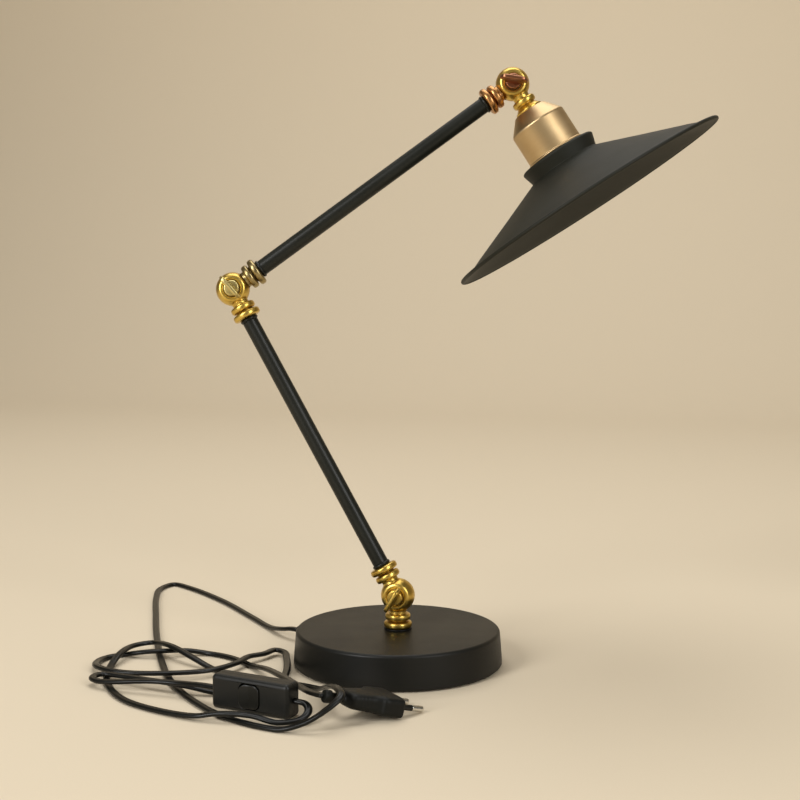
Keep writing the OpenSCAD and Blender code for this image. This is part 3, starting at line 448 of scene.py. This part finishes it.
# ---- Swivel knuckles -------------------------------------------------------------
# Cast brass, machined and buffed, then lacquered: each joint is two half balls face to
# face, 24.6 mm across, each with its own beaded neck. The front half has a round sink
# for the wing screw. The hollows between the beads are painted darker: partly tarnish
# that buffing misses, partly painted shade.
hinge_height, arm_length = 50.5, 253
lean, twist, elbow_angle, head_angle = -29.3, 14.4, 82.2, 93.8      # degrees
ball_r, outer_face, inner_face = 12.3, 8.2, 0.1
at_base = shift(0, 0, hinge_height)
at_lower = at_base @ turn(1, lean)
at_elbow = at_lower @ shift(0, 0, arm_length) @ turn(2, twist)
at_upper = at_elbow @ turn(1, elbow_angle)
at_top = at_upper @ shift(0, 0, arm_length)
at_head = at_top @ turn(1, head_angle)
upside_down = turn(1, 180)
on_axis = turn(0, 90)          # z becomes the hinge axis, towards the front


def buffed_brass(name, bright, deep, tarnish_and_shade, rough):
    """Lacquered cast brass: bright metal with faint cloudy tone, darker brown where the
    surface is hollow (pointiness below flat), which is tarnish and painted shade, and
    buffing scratches 0.4 mm apart."""
    made, tree, out, where = new_material(name)
    cloud = add(tree, "ShaderNodeTexNoise", {"Vector": where, "Scale": 160.0, "Detail": 3.0})
    metal = add(tree, "ShaderNodeMix", {0: cloud.outputs[0], 6: linear(deep), 7: linear(bright)},
                data_type="RGBA")
    shape = add(tree, "ShaderNodeNewGeometry")
    hollow = add(tree, "ShaderNodeMapRange", {"Value": shape.outputs["Pointiness"], "From Min": 0.495,
                                              "From Max": 0.44, "To Min": 0.0, "To Max": 0.6})
    # Painted shade: hollow places are mixed towards the dark brown, which stands for tarnish and for the
    # shade that falls in them.
    tone = add(tree, "ShaderNodeMix", {0: hollow.outputs[0], 6: metal.outputs[2], 7: linear(tarnish_and_shade)},
               data_type="RGBA")
    scratch = add(tree, "ShaderNodeTexNoise", {"Vector": where, "Scale": 2500.0, "Detail": 2.0})
    wear = add(tree, "ShaderNodeMath", {0: scratch.outputs[0], 1: 0.12, 2: rough - 0.06},
               operation="MULTIPLY_ADD")
    dull = add(tree, "ShaderNodeMath", {0: hollow.outputs[0], 1: 0.25, 2: wear.outputs[0]},
               operation="MULTIPLY_ADD")
    skin = add(tree, "ShaderNodeBump", {"Height": cloud.outputs[0], "Strength": 0.25, "Distance": 0.0003})
    body = add(tree, "ShaderNodeBsdfPrincipled", {"Base Color": tone.outputs[2],
                                                  "Roughness": dull.outputs[0], "Metallic": 1.0,
                                                  "Normal": skin.outputs[0]})
    tree.links.new(body.outputs[0], out.inputs[0])
    return made


# The third colour of each is the tarnish and painted shade of the hollows.
yellow_brass = buffed_brass("brass_cast_buffed_yellow", "#e0c56c", "#c1983d", "#4e3210", 0.32)
olive_brass = buffed_brass("brass_cast_aged_olive", "#b5a377", "#8a7748", "#352b19", 0.32)
copper_brass = buffed_brass("brass_cast_coppery", "#d3a06a", "#ad7a45", "#472b16", 0.32)


def half_ball(front):
    """Half of a knuckle's ball as a surface of revolution about the hinge axis: inner
    face, sphere, and outer face with a sink (front) or a shallow countersink (rear). A
    round of radius b joins face and sphere, wide on the front, where it is the ring round
    the sink. Its centre is m = ball_r - b from the ball's and h = outer_face - b high, so
    it is sqrt(m^2 - h^2) from the hinge axis. Heights are negative on a rear half."""
    b = 3.0 if front else 1.6
    middle = math.sqrt((ball_r - b) ** 2 - (outer_face - b) ** 2)
    lip = math.degrees(math.atan2(outer_face - b, middle))
    sphere = arc(0, 0, ball_r, lip, 1.5, 28)
    edge = arc(middle, outer_face - b, b, 110 if front else 90, lip, 16)
    if front:
        outline = run([[1.95, 6.4], [5.8, 6.4]], arc(5.9, 6.8, 0.4, -90, 0, 4), [[6.3, 7.55]],
                      arc(6.55, 7.65, 0.26, 170, 120, 3), edge, sphere,
                      [[12.1, inner_face], [1.95, inner_face]])
    else:
        outline = run([[2.0, 7.4], [4.6, 7.4]], arc(5.9, 7.6, 0.6, 165, 90, 4), edge, sphere,
                      [[12.1, inner_face], [2.0, inner_face]])
        outline[:, 1] *= -1
    return np.concatenate([outline, outline[:1]])


def bead(cx, cz, a0=-97, a1=97, n=26):
    """Blunt round bead in an outline, r out and r up and down: |x|^p + |z|^p = r^p, with
    r = 2.4 and p = 2.7."""
    r, p = 2.4, 2.7
    a = np.radians(np.linspace(a0, a1, n + 1))
    return np.stack([cx + r * np.sign(np.cos(a)) * abs(np.cos(a)) ** (2 / p),
                     cz + r * np.sign(np.sin(a)) * abs(np.sin(a)) ** (2 / p)], 1)


beads = run([[6.0, 12.0], [6.0, 12.7], [6.1, 13.0]], bead(6.8, 15.55), [[6.2, 18.4], [6.5, 18.6]],
            bead(7.8, 21.4), [[6.5, 23.9], [0, 23.9]])
head_beads = run([[6.0, 12.0], [6.0, 12.8], [5.9, 13.05]], bead(6.4, 15.6, -97, 88),
                 arc(7.1, 18.25, 0.4, 240, 120, 4), [[7.4, 19.0], [8.6, 20.2], [9.7, 21.3]],
                 arc(9.8, 21.9, 0.5, -45, 0, 4), [[10.3, 22.6]], arc(10.0, 22.6, 0.3, 0, 90, 3),
                 [[0, 22.9]])


def neck(outline, side, around=128):
    """Neck as a surface of revolution about the arm's axis, whose foot follows a sphere:
    passing where it clears the other half's ball, rooted where it grows out of its own.
    side is -1 for a front half, +1 for a rear half. A fillet widens the own side."""
    passing, rooted = 12.65, 11.6
    a = np.linspace(0, 2 * np.pi, around + 1)
    own = np.sin(a) * side > 0.02
    sphere = np.where(own, rooted, passing)
    foot_r = np.array([0, 3.0, 6.0])[:, None] + 0 * a
    foot_z = np.sqrt(sphere ** 2 - foot_r ** 2)
    up_r = outline[:, :1] + 0 * a
    up_z = outline[:, 1:] + 0 * a
    flare_r = np.where(own, np.array([6.9, 6.3, 6.03])[:, None], 6.0)
    flare_z = np.where(own, np.array([10.15, 10.75, 11.5])[:, None], np.array([11.2, 11.35, 11.5])[:, None])
    r = np.concatenate([foot_r, flare_r, up_r])
    z = np.concatenate([foot_z, flare_z, up_z])
    far = np.cumsum(np.r_[0, np.abs(np.diff(outline[:, 1])) + np.abs(np.diff(outline[:, 0]))])
    far = np.concatenate([np.arange(6.0), 6 + far])[:, None]
    return np.stack([r * np.cos(a), r * np.sin(a), z], -1), np.stack([9 * a + 0 * far, far + 0 * a], -1)


for name, matrix, front, outline, material, body_name, slot in (
        ("base_knuckle_rear", at_base @ upside_down, False, beads, yellow_brass, "base", "brass"),
        ("base_knuckle_front", at_lower, True, beads, yellow_brass, "lower_arm", "brass"),
        ("elbow_knuckle_front", at_elbow @ upside_down, True, beads, yellow_brass, "lower_arm", "brass"),
        ("elbow_knuckle_rear", at_upper, False, beads, olive_brass, "upper_arm", "olive_brass"),
        ("head_knuckle_rear", at_top @ upside_down, False, beads, copper_brass, "upper_arm",
         "coppery_brass"),
        ("head_knuckle_front", at_head, True, head_beads, yellow_brass, "head", "brass")):
    grid, uv = neck(outline, -1 if front else 1)
    half = mesh_piece(name.replace("knuckle", "swivel"), [
        turned(half_ball(front), matrix @ on_axis, 160), (placed(grid, matrix), uv)], material)
    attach(half, body_name)
    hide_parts(name)
dress(zinc, "base_stop_pin", "upper_stop_pins", "lower_spring_washers", "head_spring_washer")

# ---- Wing screws -----------------------------------------------------------------
# Cast brass thumb screws: a round boss that sinks into the front half, and a flat wing
# 21 mm long, dished for the thumb. The screw's end shows level in the rear half.
# The third colour of each is the tarnish and painted shade of the hollows.
pale_brass = buffed_brass("brass_cast_pale", "#dccf95", "#bda45c", "#54461f", 0.34)
copper_wing = buffed_brass("brass_cast_copper_wing", "#b5805f", "#8c5a40", "#381f12", 0.32)


def wing():
    """Loft along the hinge axis: at height z the section is a rounded oval of half width
    w(z) and half thickness t(z), |x/t|^4.4 + |y/w|^4.4 = 1, thinner by an eighth where
    a thumb presses, halfway out. The table's rows are z, w and t."""
    step, around = 0.33, 65
    table = np.array([
        [9.4, 4.2, 2.5], [10.9, 5.3, 2.4], [11.7, 6.2, 2.0], [12.8, 7.4, 1.72], [14.2, 8.8, 1.6],
        [15.8, 10.0, 1.6], [16.9, 10.45, 1.62], [18.0, 10.3, 1.7], [19.6, 9.7, 1.76],
        [21.0, 9.1, 1.8], [22.0, 8.5, 1.76], [22.6, 7.9, 1.6], [23.0, 7.1, 1.3], [23.25, 5.8, 0.9],
        [23.38, 3.4, 0.45]])
    rows, _ = eased_line(table, step)
    a = np.linspace(0, 2 * np.pi, around)
    c, s = np.cos(a), np.sin(a)
    x = rows[:, 2:] * np.sign(c) * abs(c) ** (1 / 2.2)
    y = rows[:, 1:2] * np.sign(s) * abs(s) ** (1 / 2.2)
    x = x * (1 - 0.125 * np.exp(-((rows[:, :1] - 17.5) / 3.2) ** 2 - ((abs(y) - 5.6) / 2.6) ** 2))
    grid = np.stack([x, y, rows[:, :1] + 0 * a], -1)
    caps = [np.repeat([[[0, 0, z]]], around, 1) for z in (9.4, 23.4)]
    grid = np.concatenate([caps[0], grid, caps[1]])
    far = np.arange(len(grid))[:, None] * step
    return grid, np.stack([a * 5 + 0 * far, far + 0 * a], -1)


boss = run([[0, 7.2], [5.4, 7.2]], arc(5.4, 7.6, 0.4, -90, 0, 4), [[5.8, 8.6]],
           arc(4.6, 10.3, 1.1, 15, 90, 8), [[3.0, 11.5], [0, 11.6]])
shank = run([[0, -7.4], [1.75, -7.4], [1.95, -7.2], [1.95, 7.2], [0, 7.2]])
for name, matrix, angle, material, body_name, slot in (
        ("base_wing_screw", at_base, 30, yellow_brass, "base_screw", "brass"),
        ("elbow_wing_screw", at_upper, 83, pale_brass, "elbow_screw", "pale_brass"),
        ("head_wing_screw", at_top, 45, copper_wing, "head_screw", "coppery_brass")):
    matrix = matrix @ turn(1, angle) @ on_axis
    grid, uv = wing()
    screw = mesh_piece(name.replace("wing_screw", "thumb_screw"), [
        turned(boss, matrix, 96), turned(shank, matrix, 48), (placed(grid, matrix), uv)], material)
    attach(screw, body_name)
    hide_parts(name)

# ---- Arms ------------------------------------------------------------------------
# Two steel tubes of 11.5 mm, powder coated satin black like the foot, each between two
# rounded collar rings that hide where the knuckles' nipples screw in.
tube_paint = powder_coat("powder_coat_satin_tube", "#141610", "#1f201b", 0.36, 0.5)
tube_r, tube_bore_r, tube_low, tube_high = 5.75, 4.7, 26.5, 226.5      # along the arm
tube_profile = run([[tube_bore_r, tube_low], [5.5, tube_low]], arc(5.55, 26.7, 0.2, -90, 0, 3),
                   [[tube_r, 60], [tube_r, 126], [tube_r, 190]],
                   arc(5.55, 226.3, 0.2, 0, 90, 3), [[tube_bore_r, tube_high], [tube_bore_r, tube_low]])
for name, matrix in (("lower_arm", at_lower), ("upper_arm", at_upper)):
    tube = mesh_piece(name + "_black_tube", [turned(tube_profile, matrix, 96)], tube_paint)
    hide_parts(name + "_tube")
    rings = [turned(run([[4.95, z]], arc(5.4, z + 1.3, 1.28, -90, 90, 14), [[4.95, z + 2.6], [4.95, z]]),
                    matrix, 96) for z in (23.9, tube_high)]
    collars = mesh_piece(name + "_collar_rings", rings, tube_paint)
    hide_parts(name + "_collars")
    for part in (tube, collars):
        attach(part, name)

# ---- Cup and lampholder ----------------------------------------------------------
# Spun brass cup with a sloping shoulder, brushed round and round on the lathe and
# lacquered: champagne coloured, its highlights drawn out along the axis.
brushed, tree, out, where = new_material("brass_spun_brushed", uv=True)
# u and v are mm; the lines are 0.35 mm apart, coarser than real brushing so that they show
lines = add(tree, "ShaderNodeMapping", {"Vector": where, "Scale": (0.02, 2.8, 1.0)})
brush = add(tree, "ShaderNodeTexNoise", {"Vector": lines.outputs[0], "Scale": 1.0, "Detail": 4.0,
                                         "Roughness": 0.65})
cloud = add(tree, "ShaderNodeTexNoise", {"Vector": where, "Scale": 0.05, "Detail": 2.0})
mixed = add(tree, "ShaderNodeMath", {0: brush.outputs[0], 1: 0.6, 2: cloud.outputs[0]},
            operation="MULTIPLY_ADD")
half = add(tree, "ShaderNodeMath", {0: mixed.outputs[0], 1: 0.62}, operation="MULTIPLY")
tone = add(tree, "ShaderNodeMix", {0: half.outputs[0], 6: linear("#a98a60"), 7: linear("#d3bb90")},
           data_type="RGBA")
satin = add(tree, "ShaderNodeMapRange", {"Value": brush.outputs[0], "To Min": 0.28, "To Max": 0.46})
skin = add(tree, "ShaderNodeBump", {"Height": brush.outputs[0], "Strength": 0.3, "Distance": 0.00005})
body = add(tree, "ShaderNodeBsdfPrincipled", {
    "Base Color": tone.outputs[2], "Roughness": satin.outputs[0], "Metallic": 1.0, "Anisotropic": 0.75,
    "Normal": skin.outputs[0]})
around_axis = add(tree, "ShaderNodeTangent", direction_type="UV_MAP", uv_map="UVMap")
tree.links.new(around_axis.outputs[0], body.inputs["Tangent"])
tree.links.new(body.outputs[0], out.inputs[0])
cup_r, cup_low = 21.2, 22.9
cup_profile = run([[5.1, cup_low], [11.0, cup_low]], arc(11.4, 24.7, 1.8, -90, -42, 6),
                  arc(18.1, 35.1, 3.1, -42, 0, 10), [[cup_r, 38], [cup_r, 48], [cup_r, 57.4]],
                  arc(21.25, 58.75, 0.95, -80, 90, 10), [[20.2, 59.7], [20.2, 40]],
                  arc(17.9, 35.5, 2.3, 0, -42, 8), [[11.6, 24.2], [5.1, 23.9], [5.1, cup_low]])
cup = mesh_piece("brushed_cup", [turned(cup_profile, at_head, 192)], brushed)
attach(cup, "head")
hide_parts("cup")

# Lampholder: a body pressed from dark phenolic, marbled over some 8 mm, with a flange that
# carries cup and shade, and a shell of rolled brass, cloudy over 3 mm, whose round thread,
# 3.6 mm a turn, takes the lamp.
phenolic, tree, out, where = new_material("phenolic_pressed")
flow = add(tree, "ShaderNodeTexNoise", {"Vector": where, "Scale": 130.0, "Detail": 4.0,
                                        "Distortion": 1.5})
tone = add(tree, "ShaderNodeMix", {0: flow.outputs[0], 6: linear("#151311"), 7: linear("#2a2420")},
           data_type="RGBA")
satin = add(tree, "ShaderNodeMapRange", {"Value": flow.outputs[0], "To Min": 0.24, "To Max": 0.4})
body = add(tree, "ShaderNodeBsdfPrincipled",
           {"Base Color": tone.outputs[2], "Roughness": satin.outputs[0], "IOR": 1.6})
tree.links.new(body.outputs[0], out.inputs[0])
holder_profile = run([[4.95, 35.0], [18.0, 35.0]], arc(18.3, 35.5, 0.5, -90, 0, 4),
                     [[18.8, 53.8], [19.4, 53.8]], arc(19.5, 54.1, 0.3, -90, 0, 3),
                     [[19.8, 59.8], [18.8, 59.8], [18.8, 66]],
                     arc(18.2, 74.3, 0.6, 0, 90, 5), [[16.2, 74.9]], arc(16.0, 74.3, 0.6, 90, 180, 5),
                     [[15.4, 60], [15.4, 49.9], [12, 49.9], [12, 43], [4.95, 43], [4.95, 35.0]])
holder = mesh_piece("lampholder_body", [turned(holder_profile, at_head, 160)], phenolic)
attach(holder, "head")
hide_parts("holder_body")

brass_sheet, tree, out, where = new_material("brass_rolled_thin")
roll = add(tree, "ShaderNodeTexNoise", {"Vector": where, "Scale": 300.0, "Detail": 4.0})
tone = add(tree, "ShaderNodeMix", {0: roll.outputs[0], 6: linear("#b79b62"), 7: linear("#d8c48f")},
           data_type="RGBA")
satin = add(tree, "ShaderNodeMapRange", {"Value": roll.outputs[0], "To Min": 0.2, "To Max": 0.38})
body = add(tree, "ShaderNodeBsdfPrincipled", {"Base Color": tone.outputs[2], "Roughness": satin.outputs[0],
                                              "Metallic": 1.0})
tree.links.new(body.outputs[0], out.inputs[0])
# The thread's radius is shell_r - k (1 - cos(2 pi z / pitch - a)) / 2 at turn a and height
# z, k fading from 1 to nothing at both ends. A flat flange closes it at the bottom.
shell_r, sheet, pitch, flange_r, shell_low = 13.75, 0.4, 3.62, 15.3, 49.95
a = np.linspace(0, 2 * np.pi, 129)
z = np.linspace(shell_low, 71.9, 120)[:, None]
fade = np.clip((z - 51.2) / 2, 0, 1) * np.clip((71.4 - z) / 2, 0, 1)
outer = shell_r - fade * (0.5 - 0.5 * np.cos(2 * np.pi * z / pitch - a)) + 0 * a
layers = [np.stack([r * np.cos(a), r * np.sin(a), z + 0 * a], -1) for r in (outer, outer - sheet)]
flange = [np.stack([flange_r * np.cos(a), flange_r * np.sin(a), h + 0 * a], -1)[None]
          for h in (50.4, shell_low)]
shell_grid = np.concatenate([layers[1][::-1], flange[1], flange[0], layers[0][4:], layers[1][-1:]])
far = np.arange(len(shell_grid))[:, None] * 0.2
shell = mesh_piece("screw_shell",
                   [(placed(shell_grid, at_head), np.stack([a * 13 + 0 * far, far + 0 * a], -1))],
                   brass_sheet, normals=False)
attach(shell, "head")
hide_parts("holder_shell")
dress(brass_sheet, "holder_contact")
dress(zinc, "head_nut")
dress(phenolic, "shade_ring")

# ---- Shade -----------------------------------------------------------------------
# Spun steel, 1 mm: flat top, drawn collar, wide shallow cone 219 mm across and a rim
# curled round a wire, powder coated matt charcoal outside and inside.
shade_paint = powder_coat("powder_coat_matt_charcoal", "#181913", "#23231a", 0.58, 0.45)
shade_profile = run([[19.0, 59.9], [24, 59.9]], arc(27.4, 61.8, 1.9, -90, -4, 10),
                    arc(27.9, 69.7, 0.9, 176, 118, 6),
                    [[60, 83.8], [90, 95.8], [100.5, 100.4], [104.2, 101.9], [106.1, 102.2]],
                    arc(107.95, 102.4, 1.45, -155, 150, 26), [[105.8, 103.2], [103.8, 102.9], [100, 101.3],
                                                             [90, 96.9], [60, 84.9]],
                    arc(27.0, 70.7, 0.9, 118, 176, 5), arc(27.4, 61.8, 0.9, -4, -90, 8),
                    [[19.0, 60.9], [19.0, 59.9]])
shade = mesh_piece("charcoal_shade", [turned(shade_profile, at_head, 320)], shade_paint)
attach(shade, "head")
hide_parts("shade")

# ---- Switch ----------------------------------------------------------------------
# Inline rocker switch, two half shells moulded in black ABS with a fine matt texture and
# held by two screws from behind; it stands on its long edge with the rocker in front.


def moulded_plastic(name, dark, light, rough):
    """Injection-moulded ABS: a spark-eroded skin 0.3 mm apart with a sheen that follows
    it, and faint flow marks over some 20 mm."""
    made, tree, out, where = new_material(name)
    pits = add(tree, "ShaderNodeTexNoise", {"Vector": where, "Scale": 3300.0, "Detail": 2.0})
    flow = add(tree, "ShaderNodeTexNoise", {"Vector": where, "Scale": 50.0, "Detail": 3.0})
    tone = add(tree, "ShaderNodeMix", {0: flow.outputs[0], 6: linear(dark), 7: linear(light)},
               data_type="RGBA")
    satin = add(tree, "ShaderNodeMapRange",
                {"Value": pits.outputs[0], "To Min": rough - 0.07, "To Max": rough + 0.07})
    skin = add(tree, "ShaderNodeBump", {"Height": pits.outputs[0], "Strength": 0.2, "Distance": 0.00005})
    body = add(tree, "ShaderNodeBsdfPrincipled", {"Base Color": tone.outputs[2],
                                                  "Roughness": satin.outputs[0], "IOR": 1.42,
                                                  "Normal": skin.outputs[0]})
    tree.links.new(body.outputs[0], out.inputs[0])
    return made


def loop(w, h, r, n=10):
    """Rounded rectangle of w by h with corners of r, closed, n steps a corner, starting at
    the upper end of the right side; every loop has the same number of points in step."""
    r = max(r, 0.01)
    corners = [arc(sx * (w / 2 - r), sy * (h / 2 - r), r, a0, a0 + 90, n)
               for sx, sy, a0 in ((1, 1, 0), (-1, 1, 90), (-1, -1, 180), (1, -1, 270))]
    sides = []
    for i, corner in enumerate(corners):
        follow = corners[(i + 1) % 4]
        t = np.linspace(0, 1, 10)[1:-1, None]
        sides += [corner, corner[-1] * (1 - t) + follow[0] * t]
    whole = np.concatenate(sides)
    return np.concatenate([whole, whole[:1]])


def stack_of(loops, depths):
    """Surface through loops (x, z) at depths y, one row each; uv is (x + depth, z)."""
    grid = np.stack([np.stack([p[:, 0], d + 0 * p[:, 0], p[:, 1]], 1) for p, d in zip(loops, depths)])
    return grid, np.stack([grid[..., 0] + grid[..., 1], grid[..., 2]], -1)


switch_l, switch_w = 60, 23
at_switch = shift(-64.1, -132.8, switch_w / 2) @ turn(2, -15)
abs_black = moulded_plastic("abs_moulded_matt", "#0d0e0c", "#141512", 0.42)
# rows of length, width, corner radius and depth: the outside with its rounded front
# edge, then the rocker's hole and the shell's inside
round_a = np.radians(np.linspace(0, 90, 8))
outer_rows = [(59.5, 22.5, 2.7, 0.0), (59.96, 22.96, 3.0, -0.3), (switch_l, switch_w, 3.0, -0.6),
              (switch_l, switch_w, 3.0, -2.5)]
outer_rows += [(switch_l - 6 * (1 - math.cos(t)), switch_w - 6 * (1 - math.cos(t)),
                3 - 2 * (1 - math.cos(t)), -4.5 - 3 * math.sin(t)) for t in round_a]
hole_rows = [(17.0, 18.0, 5.2, -7.5), (16.5, 17.5, 5.0, -7.42), (16.2, 17.2, 4.9, -7.1),
             (16.2, 17.2, 4.9, -5.7), (48.4, 19.4, 0.5, -5.7), (48.4, 19.4, 0.5, 0.0),
             (59.5, 22.5, 2.7, 0.0)]
rows = outer_rows + hole_rows
front_shell = stack_of([loop(w, h, r) for w, h, r, _ in rows], [d for *_, d in rows])
switch_front = mesh_piece("switch_front_shell", [(placed(front_shell[0], at_switch), front_shell[1])],
                          abs_black)
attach(switch_front, "base")
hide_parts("switch_front")
dress(abs_black, "switch_back")
dress(zinc, "switch_screws")
dress(brass_sheet, "switch_terminals")

# Rocker: a smoother, glossier moulding whose two faces meet in a shallow V, pressed
# down on the right. It turns on two stubs that run in the front shell.
rocker_gloss = moulded_plastic("abs_moulded_satin", "#0c0d0b", "#12130f", 0.32)
at_rocker = at_switch @ shift(0, -4.6, 0) @ turn(2, 5)
rocker_l, rocker_w, corner_r, valley = 15, 16, 4.6, 0.9
rocker_rows = [(0.02, 0.02, 0, 1.4), (14, 15, 4.2, 1.4), (rocker_l, rocker_w, corner_r, 1.0),
               (rocker_l, rocker_w, corner_r, -1.5), (rocker_l, rocker_w, corner_r, -2.9)]
rocker_rows += [(rocker_l - 1.4 * (1 - math.cos(t)), rocker_w - 1.4 * (1 - math.cos(t)),
                 corner_r - 0.7 * (1 - math.cos(t)), -2.9 - 0.7 * math.sin(t)) for t in round_a[1:]]
rocker_rows += [(13.6 * k, 14.6 * k, 3.9 * k, -3.6) for k in (0.85, 0.6, 0.35, 0.1, 0.001)]
rocker_grid, rocker_uv = stack_of([loop(w, h, r) for w, h, r, _ in rocker_rows],
                                  [d for *_, d in rocker_rows])
rocker_grid[4:, :, 1] -= valley * abs(rocker_grid[4:, :, 0]) / (rocker_l / 2)
stubs = turned(run([[0, -10.5], [1.3, -10.5], [1.5, -10.3], [1.5, 10.3], [1.3, 10.5], [0, 10.5]]),
               at_rocker, 32)
rocker = mesh_piece("switch_rocker_cap", [(placed(rocker_grid, at_rocker), rocker_uv), stubs], rocker_gloss)
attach(rocker, "switch_rocker")
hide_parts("rocker")

# ---- Plug ------------------------------------------------------------------------
# Flat two-pin mains plug moulded on the lead in soft black PVC: a wide head, a narrower
# grip with finger ribs, a ribbed neck and a knob. It rests nose down on its pins.
plug_thick, plug_dip = 13.7, 14         # mm, and degrees that its nose is down
plug_around = 97                        # points in a ring, the first and last the same
at_plug = (shift(23.5, -115.8, plug_thick / 2 * math.cos(math.radians(plug_dip)) + 0.1)
           @ turn(2, 44) @ turn(1, plug_dip))
plug_pvc = moulded_rubber("pvc_moulded_soft", "#090a08", "#10110d", 0.5)
# stations along the plug: place, width, thickness, exponent of the oval section
stations, _ = eased_line([
    [0.0, 32.4, 11.4, 6], [-0.35, 33.9, 12.7, 6], [-1.2, 34.8, 13.5, 5.6], [-3, 35, 13.7, 5.4],
    [-8, 35, 13.7, 5.2], [-12.6, 34.9, 13.7, 5], [-14.4, 33.6, 13.5, 4.8], [-16.6, 29.6, 12.9, 4.6],
    [-19.8, 26.2, 12.2, 4.4], [-24, 24.9, 11.8, 4.2], [-28, 23.8, 11.5, 4],
    [-32.4, 22.3, 11.0, 3.6], [-34.8, 19.8, 9.9, 3.2], [-36.2, 14.5, 8.1, 2.6],
    [-37, 8.4, 6.6, 2.2], [-37.9, 6.4, 6.2, 2], [-39.5, 6.1, 6.1, 2], [-42, 6.0, 6.0, 2],
    [-45.6, 6.0, 6.0, 2], [-46.1, 6.5, 6.5, 2], [-46.3, 7.7, 7.7, 2], [-46.8, 8.4, 8.4, 2],
    [-48.6, 8.6, 8.6, 2], [-50.6, 8.4, 8.4, 2], [-51.2, 7.7, 7.7, 2], [-51.45, 6.2, 6.2, 2]], 0.45)
x, w, t, power = (stations[:, i:i + 1] for i in range(4))
# finger ribs 2.6 mm apart on the grip and rings 1.9 mm apart on the neck, both pressed in
grip_ribs = np.exp(-((x + 26.5) / 5.2) ** 4) * (0.5 - 0.5 * np.cos((x + 21) * 2 * np.pi / 2.6))
neck_rings = np.exp(-((x + 41.8) / 2.6) ** 6) * (0.5 - 0.5 * np.cos((x + 38) * 2 * np.pi / 1.9))
a = np.linspace(0, 2 * np.pi, plug_around)
c, s = np.cos(a), np.sin(a)
wide = (w / 2 - 0.2 * grip_ribs - 0.2 * neck_rings) * np.sign(c) * abs(c) ** (2 / power)
thick = (t / 2 - 0.2 * neck_rings) * np.sign(s) * abs(s) ** (2 / power)
plug_grid = np.stack([x + 0 * a, wide, thick], -1)
caps = [np.repeat([[[v, 0, 0]]], plug_around, 1) for v in (0.0, -51.5)]
plug_grid = np.concatenate([caps[0], plug_grid, caps[1]])
plug_uv = np.stack([plug_grid[..., 0], 6 * a + 0 * plug_grid[..., 0]], -1)
plug = mesh_piece("plug_grip", [(placed(plug_grid, at_plug), plug_uv)], plug_pvc)
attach(plug, "base")
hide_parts("plug_body")

# Pins: turned brass, nickel plated, 4 mm with rounded tips, and on the 10 mm next to the
# plug an insulating sleeve of hard black plastic, flush with the pin. Use has rubbed the
# nickel unevenly, over 1.1 mm.
pin_gap = 18.6
nickel, tree, out, where = new_material("nickel_plated_brass")
rub = add(tree, "ShaderNodeTexNoise", {"Vector": where, "Scale": 900.0, "Detail": 3.0})
tone = add(tree, "ShaderNodeMix", {0: rub.outputs[0], 6: linear("#c9c6bf"), 7: linear("#e4e2dc")},
           data_type="RGBA")
satin = add(tree, "ShaderNodeMapRange", {"Value": rub.outputs[0], "To Min": 0.12, "To Max": 0.26})
body = add(tree, "ShaderNodeBsdfPrincipled", {"Base Color": tone.outputs[2], "Roughness": satin.outputs[0],
                                              "Metallic": 1.0})
tree.links.new(body.outputs[0], out.inputs[0])
pin_profile = run([[0, -8], [1.65, -8], [1.65, 10], [2.0, 10.02]], arc(0.4, 17.4, 1.6, 0, 90, 10),
                  [[0, 19]])
sleeve_profile = run([[1.66, 0], [1.98, 0], [1.98, 9.85], [1.85, 10], [1.66, 10], [1.66, 0]])
for name, node_name, outline, material, slot in (
        ("plug_pin_pair", "plug_pins", pin_profile, nickel, "nickel"),
        ("plug_sleeve_pair", "plug_sleeves", sleeve_profile, rocker_gloss, "moulded_rubber")):
    pair = [turned(outline, at_plug @ shift(0, side * pin_gap / 2, 0) @ turn(1, 90), 48)
            for side in (-1, 1)]
    pair = mesh_piece(name, pair, material)
    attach(pair, "base")
    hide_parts(node_name)
